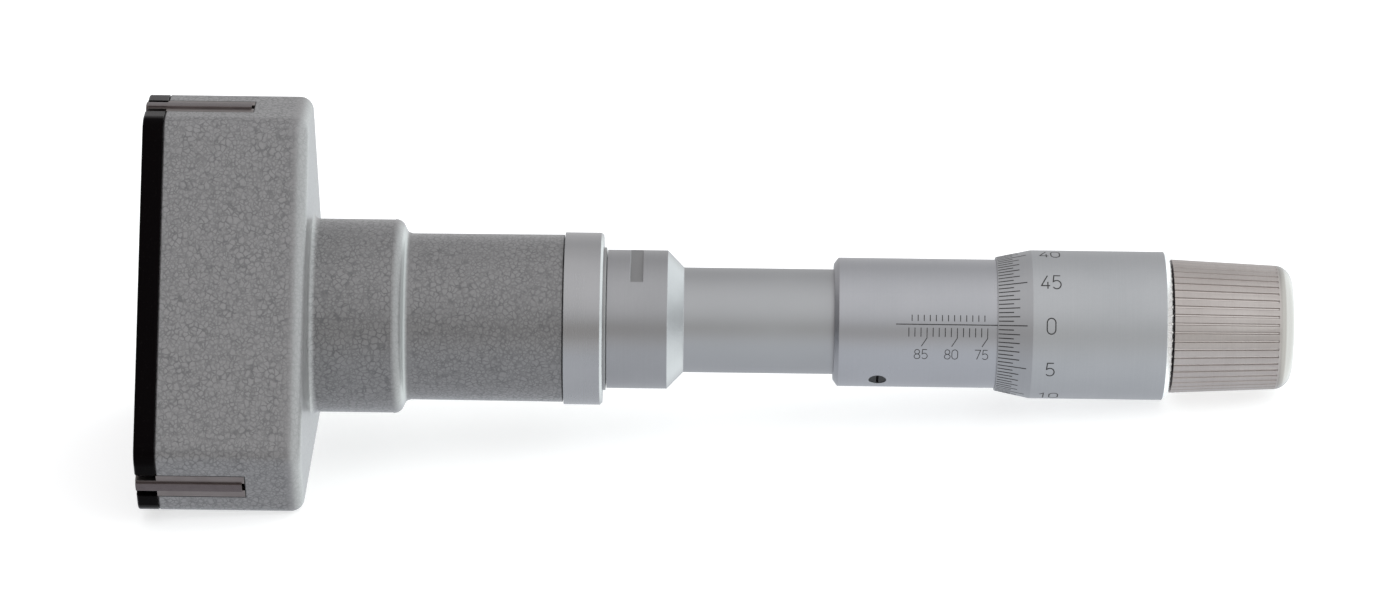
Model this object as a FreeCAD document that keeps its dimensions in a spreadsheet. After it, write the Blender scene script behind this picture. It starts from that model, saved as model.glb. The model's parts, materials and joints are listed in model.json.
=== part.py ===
import FreeCAD, Part
import Sketcher
import math
import os
from types import SimpleNamespace

# Three-point internal micrometer.
# X runs along the tool from the nose to the knob, with the origin in the middle of the nose cap's
# front face. One big flat of the head faces down (-Z) and one jaw points up (+Z).

# Driving dimensions in millimetres and degrees: name, value, meaning
SIZES = (
    ("fit_gap", 0.03, "clearance between two fixed pieces"),
    ("run_gap", 0.05, "clearance between two moving pieces"),
    ("side_gap", 0.07, "clearance beside a jaw in its slot"),
    ("stroke", 15.0, "travel of the cone, from the smallest bore to the largest"),
    ("taper", 0.5, "rise of the cone's radius per millimetre of length"),
    ("cap_t", 3.4, "thickness of the nose cap"),
    ("cap_edge_r", 0.4, "rounding of the cap's front edge"),
    ("facet_r", 36.4, "from the axis to a narrow facet"),
    ("facet_w", 14.0, "width of a narrow facet, measured to the sharp corners"),
    ("head_corner_r", 3.2, "rounding of the corners of head and cap"),
    ("head_wall", 2.65, "rear wall of the head behind the pockets"),
    ("head_edge_r", 2.2, "rounding of the head's rear edge"),
    ("neck_foot_r", 1.1, "rounding between the head's rear face and the neck"),
    ("head_front_bevel", 0.3, "bevel of the head's front edge"),
    ("neck_wall", 2.1, "wall of the neck"),
    ("neck_end_t", 2.2, "rear wall of the neck"),
    ("neck_step", 2.26, "step from the neck down to the sleeve"),
    ("neck_root_r", 0.5, "rounding between neck and sleeve"),
    ("neck_face", 0.06, "flat left on that step between its two roundings"),
    ("sleeve_growth", 0.09, "how much wider the painted sleeve is at its rear"),
    ("sleeve_len", 26.4, "length of the painted sleeve"),
    ("slot_w", 5.4, "width of a jaw slot"),
    ("slot_len", 14.45, "length of a jaw slot behind the cap"),
    ("pocket_len", 6.65, "inner pocket behind a jaw slot"),
    ("pocket_r", 30.5, "from the axis to the roof of the pocket"),
    ("cap_slot_r", 20.0, "from the axis to the inner end of a cap slot"),
    ("jaw_front_w", 2.6, "width of the jaw's nose in the cap"),
    ("jaw_front_r", 23.0, "from the axis to the inner end of the jaw's nose"),
    ("jaw_inner_r", 10.0, "from the axis to the inner end of the jaw's block"),
    ("foot_top_r", 17.0, "from the axis to the top of the jaw's foot"),
    ("foot_reach", 0.65, "lowest part of the foot in front of the slot's end"),
    ("tip_w", 1.8, "width of the hard strip"),
    ("tip_sink", 2.0, "depth of the groove for the hard strip"),
    ("tip_proud", 0.35, "how far the hard strip stands out"),
    ("tip_gap", 0.43, "open end of the groove behind the hard strip"),
    ("tip_crown_r", 18.0, "rounding of the hard strip across its width"),
    ("cone_front_r", 3.15, "radius of the cone's front"),
    ("cone_nose_gap", 0.6, "cone to cap when the jaws are fully out"),
    ("cone_wall_gap", 0.6, "cone to the neck's bore"),
    ("cavity_gap", 0.7, "behind the cone when the jaws are in"),
    ("cone_bore_depth", 9.5, "depth of the hole in the cone"),
    ("rod_stud_r", 3.0, "end of the rod in the cone"),
    ("rod_r", 4.0, "radius of the rod"),
    ("rod_passage_r", 5.5, "hole behind the neck's bore"),
    ("shoulder_t", 3.8, "thickness of the shoulder before the bush"),
    ("bush_r", 8.0, "radius of the guide bush"),
    ("bush_len", 8.0, "length of the guide bush"),
    ("cone_spring_len", 27.0, "length of the cone's spring, jaws in"),
    ("cone_spring_r", 5.4, "mean radius of the cone's spring"),
    ("cone_spring_wire", 0.8, "wire of the cone's spring"),
    ("rod_collar_r", 6.2, "collar on the rod"),
    ("rod_collar_t", 2.0, "thickness of the collar on the rod"),
    ("rod_tail_len", 3.0, "rod behind its collar"),
    ("rod_tail_r", 3.5, "radius of the rod behind its collar"),
    ("ball_r", 2.5, "radius of the thrust ball"),
    ("ball_seat", 2.3, "depth of the ball's seat in the rod"),
    ("jaw_spring_r", 1.5, "mean radius of a jaw's spring"),
    ("jaw_spring_wire", 0.4, "wire of a jaw's spring"),
    ("jaw_spring_seat", 2.5, "depth of the spring's seat in the foot"),
    ("screw_circle_r", 17.0, "from the axis to a cap screw"),
    ("screw_r", 1.5, "radius of a cap screw's shank"),
    ("screw_head_r", 2.8, "radius of a cap screw's head"),
    ("screw_len", 11.0, "length of a cap screw"),
    ("screw_slot_w", 0.8, "width of the slot in a screw"),
    ("screw_slot_depth", 0.8, "depth of the slot in a screw"),
    ("collar_gap", 0.2, "dark groove between sleeve and collar"),
    ("collar_r", 14.33, "radius of the collar"),
    ("collar_len", 6.4, "length of the collar"),
    ("collar_bevel", 0.4, "bevel of the collar's rear edge"),
    ("collar_lip", 0.9, "rear wall of the collar"),
    ("stub_r", 12.2, "end of the casting under the collar"),
    ("seal_r", 11.9, "radius of the seal ring"),
    ("seal_t", 0.5, "thickness of the seal ring"),
    ("seal_gap", 0.17, "gap between seal ring and coupling"),
    ("spigot_r", 10.0, "front end of the tube in the casting"),
    ("spigot_len", 14.0, "length of that front end"),
    ("coupling_r", 11.53, "radius of the coupling"),
    ("coupling_len", 10.0, "length of the coupling"),
    ("coupling_cone_len", 2.73, "cone between coupling and tube"),
    ("flat_at", 3.83, "from the coupling's front to the spanner flats"),
    ("flat_w", 2.1, "width of a spanner flat"),
    ("flat_depth", 1.38, "depth of a spanner flat"),
    ("flat_turn", 9.0, "turn of the spanner flats from the top"),
    ("tube_r", 8.73, "radius of the tube"),
    ("tube_len", 24.9, "tube between coupling and barrel"),
    ("front_bore_r", 7.2, "bore of the tube's front"),
    ("front_bore_len", 27.9, "depth of that bore"),
    ("guide_len", 22.0, "reamed stretch that guides the spindle"),
    ("relief_r", 5.5, "relieved stretch behind the guide"),
    ("nut_r", 6.6, "bore for the thread nut"),
    ("nut_len", 15.0, "length of the thread nut"),
    ("nut_inset", 2.0, "from the tube's rear end to the thread nut"),
    ("nut_seat_len", 7.0, "part of the thread nut that sits in the tube"),
    ("nut_tail_step", 0.7, "step from the nut down to its slit tail"),
    ("nut_tail_drop", 0.6, "how much thinner the slit tail is at its end"),
    ("nut_slit_w", 0.6, "slits in the tail"),
    ("ring_front_gap", 0.8, "from the nut's seat to the adjusting nut"),
    ("ring_rear_gap", 0.6, "from the adjusting nut to the tail's end"),
    ("ring_notch_w", 1.4, "spanner notches in the adjusting nut"),
    ("barrel_wall", 1.94, "wall of the barrel"),
    ("barrel_len", 35.3, "length of the barrel"),
    ("barrel_bevel_len", 0.75, "front bevel of the barrel, along it"),
    ("barrel_bevel_depth", 1.0, "front bevel of the barrel, across it"),
    ("barrel_screw_r", 1.45, "radius of the barrel's grub screw"),
    ("barrel_screw_at", 7.3, "from the barrel's front to its grub screw"),
    ("barrel_screw_turn", 132.8, "turn of the grub screw from the top"),
    ("barrel_screw_sunk", 0.15, "how far the grub screw lies below the surface"),
    ("barrel_slot_w", 0.4, "width of the slot in the grub screw"),
    ("thimble_at", 26.9, "from the barrel's front to the thimble's edge"),
    ("thimble_skirt_t", 1.59, "wall of the thimble"),
    ("thimble_edge_t", 0.35, "wall of the thimble at its front edge"),
    ("thimble_bevel_len", 5.75, "length of the graduated bevel"),
    ("thimble_rear_len", 1.05, "rear bevel of the thimble, along it"),
    ("thimble_rear_depth", 1.34, "rear bevel of the thimble, across it"),
    ("thimble_end_gap", 1.5, "barrel to the thimble's end wall when the jaws are fully out"),
    ("thimble_end_t", 4.0, "end wall of the thimble"),
    ("spindle_r", 3.6, "radius of the spindle"),
    ("spindle_nose", 0.4, "bevel of the spindle's front"),
    ("thread_r", 4.0, "outer radius of the spindle's screw"),
    ("thread_lead", 2.0, "screw in front of the nut, thimble back"),
    ("seat_front_r", 5.2, "taper seat of the thimble, front"),
    ("seat_rear_r", 4.4, "taper seat of the thimble, rear"),
    ("seat_front_gap", 1.5, "taper in front of the thimble's end wall"),
    ("seat_rear_gap", 0.5, "from the spindle's rear end to the thimble's rear face"),
    ("knob_gap", 0.3, "gap between thimble and knob"),
    ("knob_front_r", 11.1, "radius of the knob, front"),
    ("knob_rear_r", 10.17, "radius of the knob, rear"),
    ("knob_len", 20.0, "length of the knob"),
    ("knob_edge_r", 2.8, "rounding of the knob's rear edge"),
    ("knob_bore_r", 8.2, "bore of the knob"),
    ("knob_end_t", 4.4, "end wall of the knob"),
    ("keyway_depth", 0.9, "depth of a keyway in the knob"),
    ("keyway_w", 2.2, "width of a keyway in the knob"),
    ("flute_count", 48, "flutes round the knob"),
    ("flute_w", 0.46, "width of a flute"),
    ("flute_floor_w", 0.22, "width of a flute's floor"),
    ("flute_depth", 0.24, "depth of a flute"),
    ("flute_end_gap", 2.7, "smooth end of the knob behind the flutes"),
    ("bolt_stud_r", 2.0, "end of the ratchet shaft in the spindle"),
    ("bolt_stud_len", 10.0, "length of that end"),
    ("bolt_head_r", 6.6, "shoulder on the thimble's rear face"),
    ("bolt_head_t", 0.5, "thickness of that shoulder"),
    ("journal_r", 4.6, "journal of the ratchet shaft"),
    ("ring_at", 0.4, "from the knob's front to the ratchet ring"),
    ("ring_t", 2.0, "thickness of the ratchet ring"),
    ("ring_play", 0.1, "play between ratchet ring and flange"),
    ("flange_gap", 0.6, "from the toothed flange to the knob's bore"),
    ("flange_t", 2.0, "thickness of that flange"),
    ("pilot_r", 2.5, "pilot of the ratchet shaft"),
    ("pilot_len", 7.5, "length of that pilot"),
    ("tooth_count", 24, "teeth of the ratchet"),
    ("tooth_w", 0.8, "width of a tooth"),
    ("tooth_h", 0.5, "height of a tooth"),
    ("disc_t", 2.5, "thickness of the ratchet disc"),
    ("ratchet_spring_r", 4.3, "mean radius of the ratchet's spring"),
    ("ratchet_spring_wire", 0.8, "wire of the ratchet's spring"),
)


class Size:
    """A dimension that carries the sheet's formula for it along with its present value."""

    def __init__(self, value, formula):
        self.value = value
        self.formula = formula

    def __add__(self, other):
        other = as_size(other)
        return Size(self.value + other.value, "(%s + %s)" % (self.formula, other.formula))

    def __sub__(self, other):
        other = as_size(other)
        return Size(self.value - other.value, "(%s - %s)" % (self.formula, other.formula))

    def __mul__(self, other):
        other = as_size(other)
        return Size(self.value * other.value, "(%s * %s)" % (self.formula, other.formula))

    def __truediv__(self, other):
        other = as_size(other)
        return Size(self.value / other.value, "(%s / %s)" % (self.formula, other.formula))

    def __neg__(self):
        return as_size(0) - self


def as_size(number):
    return number if isinstance(number, Size) else Size(float(number), repr(float(number)))


def cosine(degrees):
    return Size(math.cos(math.radians(degrees)), "cos(%s)" % degrees)


def sine(degrees):
    return Size(math.sin(math.radians(degrees)), "sin(%s)" % degrees)


doc = FreeCAD.newDocument("ThreePointMicrometer")
sheet = doc.addObject("Spreadsheet::Sheet", "Sizes")
for row, (alias, number, meaning) in enumerate(SIZES, 1):
    sheet.set("A%d" % row, meaning)
    sheet.set("B%d" % row, str(number))
    sheet.setAlias("B%d" % row, alias)
doc.recompute()
d = SimpleNamespace(**{name: Size(float(number), "Sizes." + name) for name, number, _ in SIZES})

# Stations along X, each worked out from the lengths before it
x = SimpleNamespace()
x.head = d.cap_t
x.slot_end = x.head + d.slot_len
x.pocket_end = x.slot_end + d.pocket_len
x.neck = x.pocket_end + d.head_wall
x.cone = x.head + d.cone_nose_gap + d.stroke
x.cone_end = x.pocket_end + d.stroke
x.cavity_end = x.cone_end + d.cavity_gap
x.sleeve = x.cavity_end + d.neck_end_t
x.sleeve_end = x.sleeve + d.sleeve_len
x.bush = x.cavity_end + d.shoulder_t
x.bush_end = x.bush + d.bush_len
x.rod_collar = x.bush_end + d.cone_spring_len
x.rod_collar_end = x.rod_collar + d.rod_collar_t
x.rod_end = x.rod_collar_end + d.rod_tail_len
x.ball = x.rod_end - d.ball_seat + d.fit_gap + d.ball_r
x.spindle = x.ball + d.ball_r + d.fit_gap
x.collar = x.sleeve_end + d.collar_gap
x.collar_end = x.collar + d.collar_len
x.stub_end = x.collar_end - d.collar_lip
x.seal_end = x.collar_end + d.seal_t
x.coupling = x.seal_end + d.seal_gap
x.spigot = x.coupling - d.spigot_len
x.coupling_end = x.coupling + d.coupling_len
x.tube = x.coupling_end + d.coupling_cone_len
x.barrel = x.tube + d.tube_len
x.barrel_end = x.barrel + d.barrel_len
x.guide = x.spigot + d.front_bore_len
x.relief = x.guide + d.guide_len
x.nut_end = x.barrel_end - d.nut_inset
x.nut = x.nut_end - d.nut_len
x.nut_tail = x.nut + d.nut_seat_len
x.ring = x.nut_tail + d.ring_front_gap
x.ring_end = x.nut_end - d.ring_rear_gap
x.thimble = x.barrel + d.thimble_at
x.thimble_wall = x.barrel_end + d.stroke + d.thimble_end_gap
x.thimble_end = x.thimble_wall + d.thimble_end_t
x.seat = x.thimble_wall - d.seat_front_gap
x.spindle_end = x.thimble_end - d.seat_rear_gap
x.knob = x.thimble_end + d.knob_gap
x.knob_end = x.knob + d.knob_len
x.knob_floor = x.knob_end - d.knob_end_t
x.flute_end = x.knob_end - d.flute_end_gap
x.bolt_head_end = x.thimble_end + d.bolt_head_t
x.retainer = x.knob + d.ring_at
x.flange = x.retainer + d.ring_t + d.ring_play
x.flange_end = x.flange + d.flange_t
x.disc = x.flange_end + d.run_gap
x.disc_end = x.disc + d.disc_t

# Radii that follow from others
r = SimpleNamespace()
r.cone_rear = d.cone_front_r + (x.cone_end - x.cone) * d.taper
r.cavity = r.cone_rear + d.cone_wall_gap
r.neck = r.cavity + d.neck_wall
r.neck_edge = d.neck_step - d.neck_root_r - d.neck_face
r.sleeve_front = r.neck - d.neck_step
r.sleeve_rear = r.sleeve_front + d.sleeve_growth
r.flat = d.coupling_r - d.flat_depth
r.nut_tail_front = d.nut_r - d.nut_tail_step
r.nut_tail_rear = r.nut_tail_front - d.nut_tail_drop
r.barrel_bore = d.tube_r + d.fit_gap
r.barrel = r.barrel_bore + d.barrel_wall
r.thimble_bore = r.barrel + d.run_gap
r.thimble = r.thimble_bore + d.thimble_skirt_t
r.keyway = d.knob_bore_r + d.keyway_depth
r.flange = d.knob_bore_r - d.flange_gap
half_slot = d.slot_w / 2
jaw_w = d.slot_w - d.side_gap * 2
axis = as_size(0)

# Jaws round the head: the instrument centres itself in a bore on these three points
JAWS = 3

# Straight pieces in one turn of a spring, and the pitch of its closed end turns in wires
TURN_STEPS = 12
END_PITCH = 1.2


def origin_part(body, role):
    """The plane or axis of the body's own origin that has this role."""
    return [item for item in body.Origin.OriginFeatures if item.Role == role][0]


def new_body(label, turn=0.0):
    """An empty piece, turned about X by this many degrees from the top."""
    body = doc.addObject("PartDesign::Body", label)
    body.Label = label
    body.Placement = FreeCAD.Placement(
        FreeCAD.Vector(0, 0, 0), FreeCAD.Rotation(FreeCAD.Vector(1, 0, 0), turn)
    )
    return body


def new_sketch(body, name, plane, offset=None):
    """An empty sketch on one of the body's planes, moved along the plane's normal by the offset."""
    sketch = body.newObject("Sketcher::SketchObject", name)
    sketch.AttachmentSupport = [(origin_part(body, plane), "")]
    sketch.MapMode = "FlatFace"
    if offset is not None:
        sketch.AttachmentOffset = FreeCAD.Placement(
            FreeCAD.Vector(0, 0, offset.value), FreeCAD.Rotation()
        )
        sketch.setExpression("AttachmentOffset.Base.z", offset.formula)
    return sketch


def pin(sketch, edge, point, across, up):
    """Fixes a point of the sketch by its two distances from the sketch's origin."""
    for kind, size, line in (("DistanceX", across, -2), ("DistanceY", up, -1)):
        if size is axis:
            sketch.addConstraint(Sketcher.Constraint("PointOnObject", edge, point, line))
        else:
            place = sketch.addConstraint(
                Sketcher.Constraint(kind, -1, 1, edge, point, size.value)
            )
            sketch.setExpression("Constraints[%d]" % place, size.formula)


def outline(body, name, plane, points, offset=None):
    """A closed outline with straight sides."""
    sketch = new_sketch(body, name, plane, offset)
    corners = [FreeCAD.Vector(across.value, up.value, 0) for across, up in points]
    count = len(corners)
    for i in range(count):
        sketch.addGeometry(Part.LineSegment(corners[i], corners[(i + 1) % count]), False)
    for i in range(count):
        sketch.addConstraint(Sketcher.Constraint("Coincident", i, 2, (i + 1) % count, 1))
    for i, (across, up) in enumerate(points):
        pin(sketch, i, 1, across, up)
    return sketch


def ring_outline(body, name, plane, across, up, radius, offset=None):
    """A circle round a given point."""
    sketch = new_sketch(body, name, plane, offset)
    centre = FreeCAD.Vector(across.value, up.value, 0)
    sketch.addGeometry(Part.Circle(centre, FreeCAD.Vector(0, 0, 1), radius.value), False)
    pin(sketch, 0, 3, across, up)
    place = sketch.addConstraint(Sketcher.Constraint("Radius", 0, radius.value))
    sketch.setExpression("Constraints[%d]" % place, radius.formula)
    return sketch


def turned(body, name, points):
    """A solid of revolution about X; each point is a station and a radius."""
    feature = body.newObject("PartDesign::Revolution", name)
    feature.Profile = outline(body, name + "_profile", "XY_Plane", points)
    feature.ReferenceAxis = (feature.Profile[0], ["H_Axis"])
    feature.Angle = 360
    return finished(body, feature, "adds")


def bored(body, name, points):
    """Cuts a solid of revolution about X away."""
    feature = body.newObject("PartDesign::Groove", name)
    feature.Profile = outline(body, name + "_profile", "XY_Plane", points)
    feature.ReferenceAxis = (feature.Profile[0], ["H_Axis"])
    feature.Angle = 360
    return finished(body, feature, "cuts")


def extruded(body, name, sketch, length, both_ways=False):
    feature = body.newObject("PartDesign::Pad", name)
    feature.Profile = sketch
    feature.Midplane = both_ways
    feature.Length = length.value
    feature.setExpression("Length", length.formula)
    return finished(body, feature, "adds")


def pocketed(body, name, sketch, length, both_ways=False, forward=False):
    """Cuts the sketch's outline away; forward is along the sketch's own normal."""
    feature = body.newObject("PartDesign::Pocket", name)
    feature.Profile = sketch
    feature.Midplane = both_ways
    feature.Reversed = forward
    feature.Length = length.value
    feature.setExpression("Length", length.formula)
    return finished(body, feature, "cuts")


def repeated(body, feature, count):
    """Repeats a feature evenly round X."""
    pattern = body.newObject("PartDesign::PolarPattern", feature.Name + "_round")
    pattern.Originals = [feature]
    pattern.Axis = (origin_part(body, "X_Axis"), [""])
    pattern.Angle = 360
    pattern.Occurrences = int(as_size(count).value)
    if isinstance(count, Size):
        pattern.setExpression("Occurrences", count.formula)
    body.Tip = pattern
    return finished(body, pattern, "changes")


def dressed(body, kind, name, feature, picked, size):
    """A fillet or chamfer on the edges of a feature that the picker accepts."""
    edges = ["Edge%d" % i for i, edge in enumerate(feature.Shape.Edges, 1) if picked(edge)]
    dress = body.newObject("PartDesign::" + kind, name)
    dress.Base = (feature, edges)
    size_name = "Radius" if kind == "Fillet" else "Size"
    setattr(dress, size_name, size.value)
    dress.setExpression(size_name, size.formula)
    return finished(body, dress, "changes")


def finished(body, feature, effect):
    """Recomputes, and stops if the feature failed or did nothing."""
    base = feature.getPropertyByName("BaseFeature") if "BaseFeature" in feature.PropertiesList else None
    before = base.Shape.Volume if base is not None else 0.0
    doc.recompute()
    after = feature.Shape.Volume
    change = after - before
    wrong = (effect == "adds" and change <= 0) or (effect == "cuts" and change >= 0) or change == 0
    if wrong or "Invalid" in feature.State or "Error" in feature.State:
        raise RuntimeError("%s of %s failed: %s, volume %.4f to %.4f" % (
            feature.Name, body.Label, feature.State, before, after))
    return feature


def on_circle(edge, station, radius):
    """Does the edge run round X at this station and with this radius?"""
    return at_station(edge, station) and edge.Length > radius.value and all(
        abs(math.hypot(vertex.Y, vertex.Z) - radius.value) < 1e-4 for vertex in edge.Vertexes
    )


def at_station(edge, station):
    """Do all of the edge's ends lie in the plane at this station?"""
    return all(abs(vertex.X - station.value) < 1e-4 for vertex in edge.Vertexes)


def runs_along(edge, length):
    """Is this a straight edge of this length along X?"""
    ends = [vertex.X for vertex in edge.Vertexes]
    return abs(max(ends) - min(ends) - length.value) < 1e-6 and abs(edge.Length - length.value) < 1e-6


def head_corners():
    """The six corners of the head's section: narrow facets for the jaws, big flats between."""
    corners = []
    half = d.facet_w / 2
    for middle in (90, 210, 330):
        for side in (-1, 1):
            across = d.facet_r * cosine(middle) - half * sine(middle) * side
            up = d.facet_r * sine(middle) + half * cosine(middle) * side
            corners.append((across, up))
    return corners


def make_head():
    """The painted casting: head, neck and sleeve, with the bore and the jaw slots."""
    body = new_body("head_body")
    section = outline(body, "head_section", "YZ_Plane", head_corners(), x.head)
    length = x.neck - x.head
    block = extruded(body, "head_block", section, length)
    block = dressed(
        body, "Fillet", "head_corners", block, lambda edge: runs_along(edge, length), d.head_corner_r,
    )
    block = dressed(
        body, "Fillet", "head_rear_edge", block,
        lambda edge: at_station(edge, x.neck), d.head_edge_r,
    )
    block = dressed(
        body, "Chamfer", "head_front_edge", block,
        lambda edge: at_station(edge, x.head), d.head_front_bevel,
    )
    inside = x.neck - d.pocket_len
    neck = turned(body, "neck", [
        (inside, axis), (inside, r.neck), (x.sleeve, r.neck), (x.sleeve, r.sleeve_front),
        (x.sleeve_end, r.sleeve_rear), (x.sleeve_end, d.stub_r), (x.stub_end, d.stub_r),
        (x.stub_end, axis),
    ])
    neck = dressed(
        body, "Fillet", "neck_foot", neck,
        lambda edge: on_circle(edge, x.neck, r.neck), d.neck_foot_r,
    )
    neck = dressed(
        body, "Fillet", "neck_edge", neck,
        lambda edge: on_circle(edge, x.sleeve, r.neck), r.neck_edge,
    )
    neck = dressed(
        body, "Fillet", "neck_root", neck,
        lambda edge: on_circle(edge, x.sleeve, r.sleeve_front), d.neck_root_r,
    )
    bored(body, "head_bore", [
        (x.head, axis), (x.head, r.cavity), (x.cavity_end, r.cavity),
        (x.cavity_end, d.rod_passage_r), (x.bush, d.rod_passage_r),
        (x.bush, d.bush_r), (x.spigot - d.run_gap, d.bush_r),
        (x.spigot - d.run_gap, d.spigot_r), (x.stub_end, d.spigot_r), (x.stub_end, axis),
    ])
    outside = d.facet_r + d.facet_w
    slot = outline(body, "slot_profile", "XZ_Plane", [
        (x.head, d.jaw_inner_r), (x.pocket_end, d.jaw_inner_r), (x.pocket_end, d.pocket_r),
        (x.slot_end, d.pocket_r), (x.slot_end, outside), (x.head, outside),
    ])
    slot = pocketed(body, "jaw_slot", slot, d.slot_w, both_ways=True)
    repeated(body, slot, JAWS)
    hole = ring_outline(
        body, "screw_hole_profile", "YZ_Plane", axis, -d.screw_circle_r, d.screw_r + d.fit_gap, x.head,
    )
    hole = pocketed(body, "screw_hole", hole, d.screw_len - d.cap_t + d.run_gap * 4, forward=True)
    repeated(body, hole, JAWS)
    return body


def make_cap():
    """The black nose cap, with a slot for each jaw and three countersunk holes."""
    body = new_body("nose_cap")
    section = outline(body, "cap_section", "YZ_Plane", head_corners(), axis)
    plate = extruded(body, "cap_plate", section, d.cap_t)
    plate = dressed(
        body, "Fillet", "cap_corners", plate, lambda edge: runs_along(edge, d.cap_t), d.head_corner_r,
    )
    plate = dressed(
        body, "Fillet", "cap_front_edge", plate, lambda edge: at_station(edge, axis), d.cap_edge_r,
    )
    slot = outline(body, "cap_slot_profile", "YZ_Plane", [
        (-half_slot, d.cap_slot_r), (half_slot, d.cap_slot_r),
        (half_slot, d.facet_r + d.facet_w), (-half_slot, d.facet_r + d.facet_w),
    ])
    slot = pocketed(body, "cap_slot", slot, d.cap_t, forward=True)
    repeated(body, slot, JAWS)
    hole = ring_outline(
        body, "cap_hole_profile", "YZ_Plane", axis, -d.screw_circle_r, d.screw_r + d.fit_gap,
    )
    hole = pocketed(body, "cap_hole", hole, d.cap_t, forward=True)
    repeated(body, hole, JAWS)
    sink = body.newObject("PartDesign::SubtractiveCone", "countersink")
    sink.AttachmentSupport = [(origin_part(body, "YZ_Plane"), "")]
    sink.MapMode = "FlatFace"
    sink.AttachmentOffset = FreeCAD.Placement(
        FreeCAD.Vector(0, -d.screw_circle_r.value, 0), FreeCAD.Rotation()
    )
    sink.setExpression("AttachmentOffset.Base.y", "-Sizes.screw_circle_r")
    for name, size in (
        ("Radius1", d.screw_head_r + d.fit_gap), ("Radius2", d.screw_r + d.fit_gap),
        ("Height", d.screw_head_r - d.screw_r),
    ):
        setattr(sink, name, size.value)
        sink.setExpression(name, size.formula)
    finished(body, sink, "cuts")
    repeated(body, sink, JAWS)
    return body


def make_cap_screws():
    """Three countersunk screws, as one group of separate solids."""
    shank = d.screw_head_r - d.screw_r
    screws = []
    for turn in range(JAWS):
        angle = math.radians(-90 + 360.0 * turn / JAWS)
        where = FreeCAD.Vector(
            0, d.screw_circle_r.value * math.cos(angle), d.screw_circle_r.value * math.sin(angle)
        )
        along = FreeCAD.Vector(1, 0, 0)
        head = Part.makeCone(d.screw_head_r.value, d.screw_r.value, shank.value, where, along)
        body_start = where + along * shank.value
        body = Part.makeCylinder(d.screw_r.value, d.screw_len.value - shank.value, body_start, along)
        width = d.screw_slot_w.value
        slot = Part.makeBox(
            d.screw_slot_depth.value * 2, width, d.screw_head_r.value * 3,
            where - FreeCAD.Vector(
                d.screw_slot_depth.value, width / 2, d.screw_head_r.value * 1.5
            ),
        )
        screws.append(head.fuse(body).removeSplitter().cut(slot))
    group = doc.addObject("Part::Feature", "cap_screws")
    group.Label = "cap_screws"
    group.Shape = Part.makeCompound(screws)
    group.Placement = FreeCAD.Placement()
    return group


def face_height(station):
    """Radius of the jaws' slanted inner face at a station, with the jaws in."""
    square_gap = d.run_gap / 2
    lift = square_gap * Size(math.hypot(1, d.taper.value), "sqrt(1 + Sizes.taper ^ 2)")
    return d.cone_front_r + (station - x.cone) * d.taper + lift


def make_jaw(index, turn):
    """A ground jaw: block in the slot, narrow nose in the cap and slanted foot on the cone."""
    body = new_body("jaw_%d" % index, turn)
    front = x.head + d.run_gap
    block_end = x.slot_end - d.side_gap
    foot_end = x.pocket_end - d.side_gap
    foot_front = x.slot_end - d.foot_reach
    slope_front = foot_front - (d.jaw_inner_r - face_height(foot_front)) * d.taper
    profile = outline(body, "jaw_profile_%d" % index, "XZ_Plane", [
        (front, d.jaw_inner_r), (slope_front, d.jaw_inner_r), (foot_front, face_height(foot_front)),
        (foot_end, face_height(foot_end)), (foot_end, d.foot_top_r), (block_end, d.foot_top_r),
        (block_end, d.facet_r), (front, d.facet_r),
    ])
    extruded(body, "jaw_block_%d" % index, profile, jaw_w, both_ways=True)
    nose = outline(body, "nose_profile_%d" % index, "XZ_Plane", [
        (d.run_gap, d.jaw_front_r), (block_end, d.jaw_front_r), (block_end, d.facet_r),
        (d.run_gap, d.facet_r),
    ])
    extruded(body, "jaw_nose_%d" % index, nose, d.jaw_front_w, both_ways=True)
    half_groove = d.tip_w / 2 + d.fit_gap / 2
    groove = outline(body, "groove_profile_%d" % index, "YZ_Plane", [
        (-half_groove, d.facet_r - d.tip_sink), (half_groove, d.facet_r - d.tip_sink),
        (half_groove, d.facet_r + d.tip_sink), (-half_groove, d.facet_r + d.tip_sink),
    ])
    pocketed(body, "jaw_groove_%d" % index, groove, x.slot_end, forward=True)
    seat = ring_outline(
        body, "seat_profile_%d" % index, "XY_Plane", spring_station, axis,
        d.jaw_spring_r + d.jaw_spring_wire, d.foot_top_r,
    )
    pocketed(body, "spring_seat_%d" % index, seat, d.jaw_spring_seat)
    return body


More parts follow.
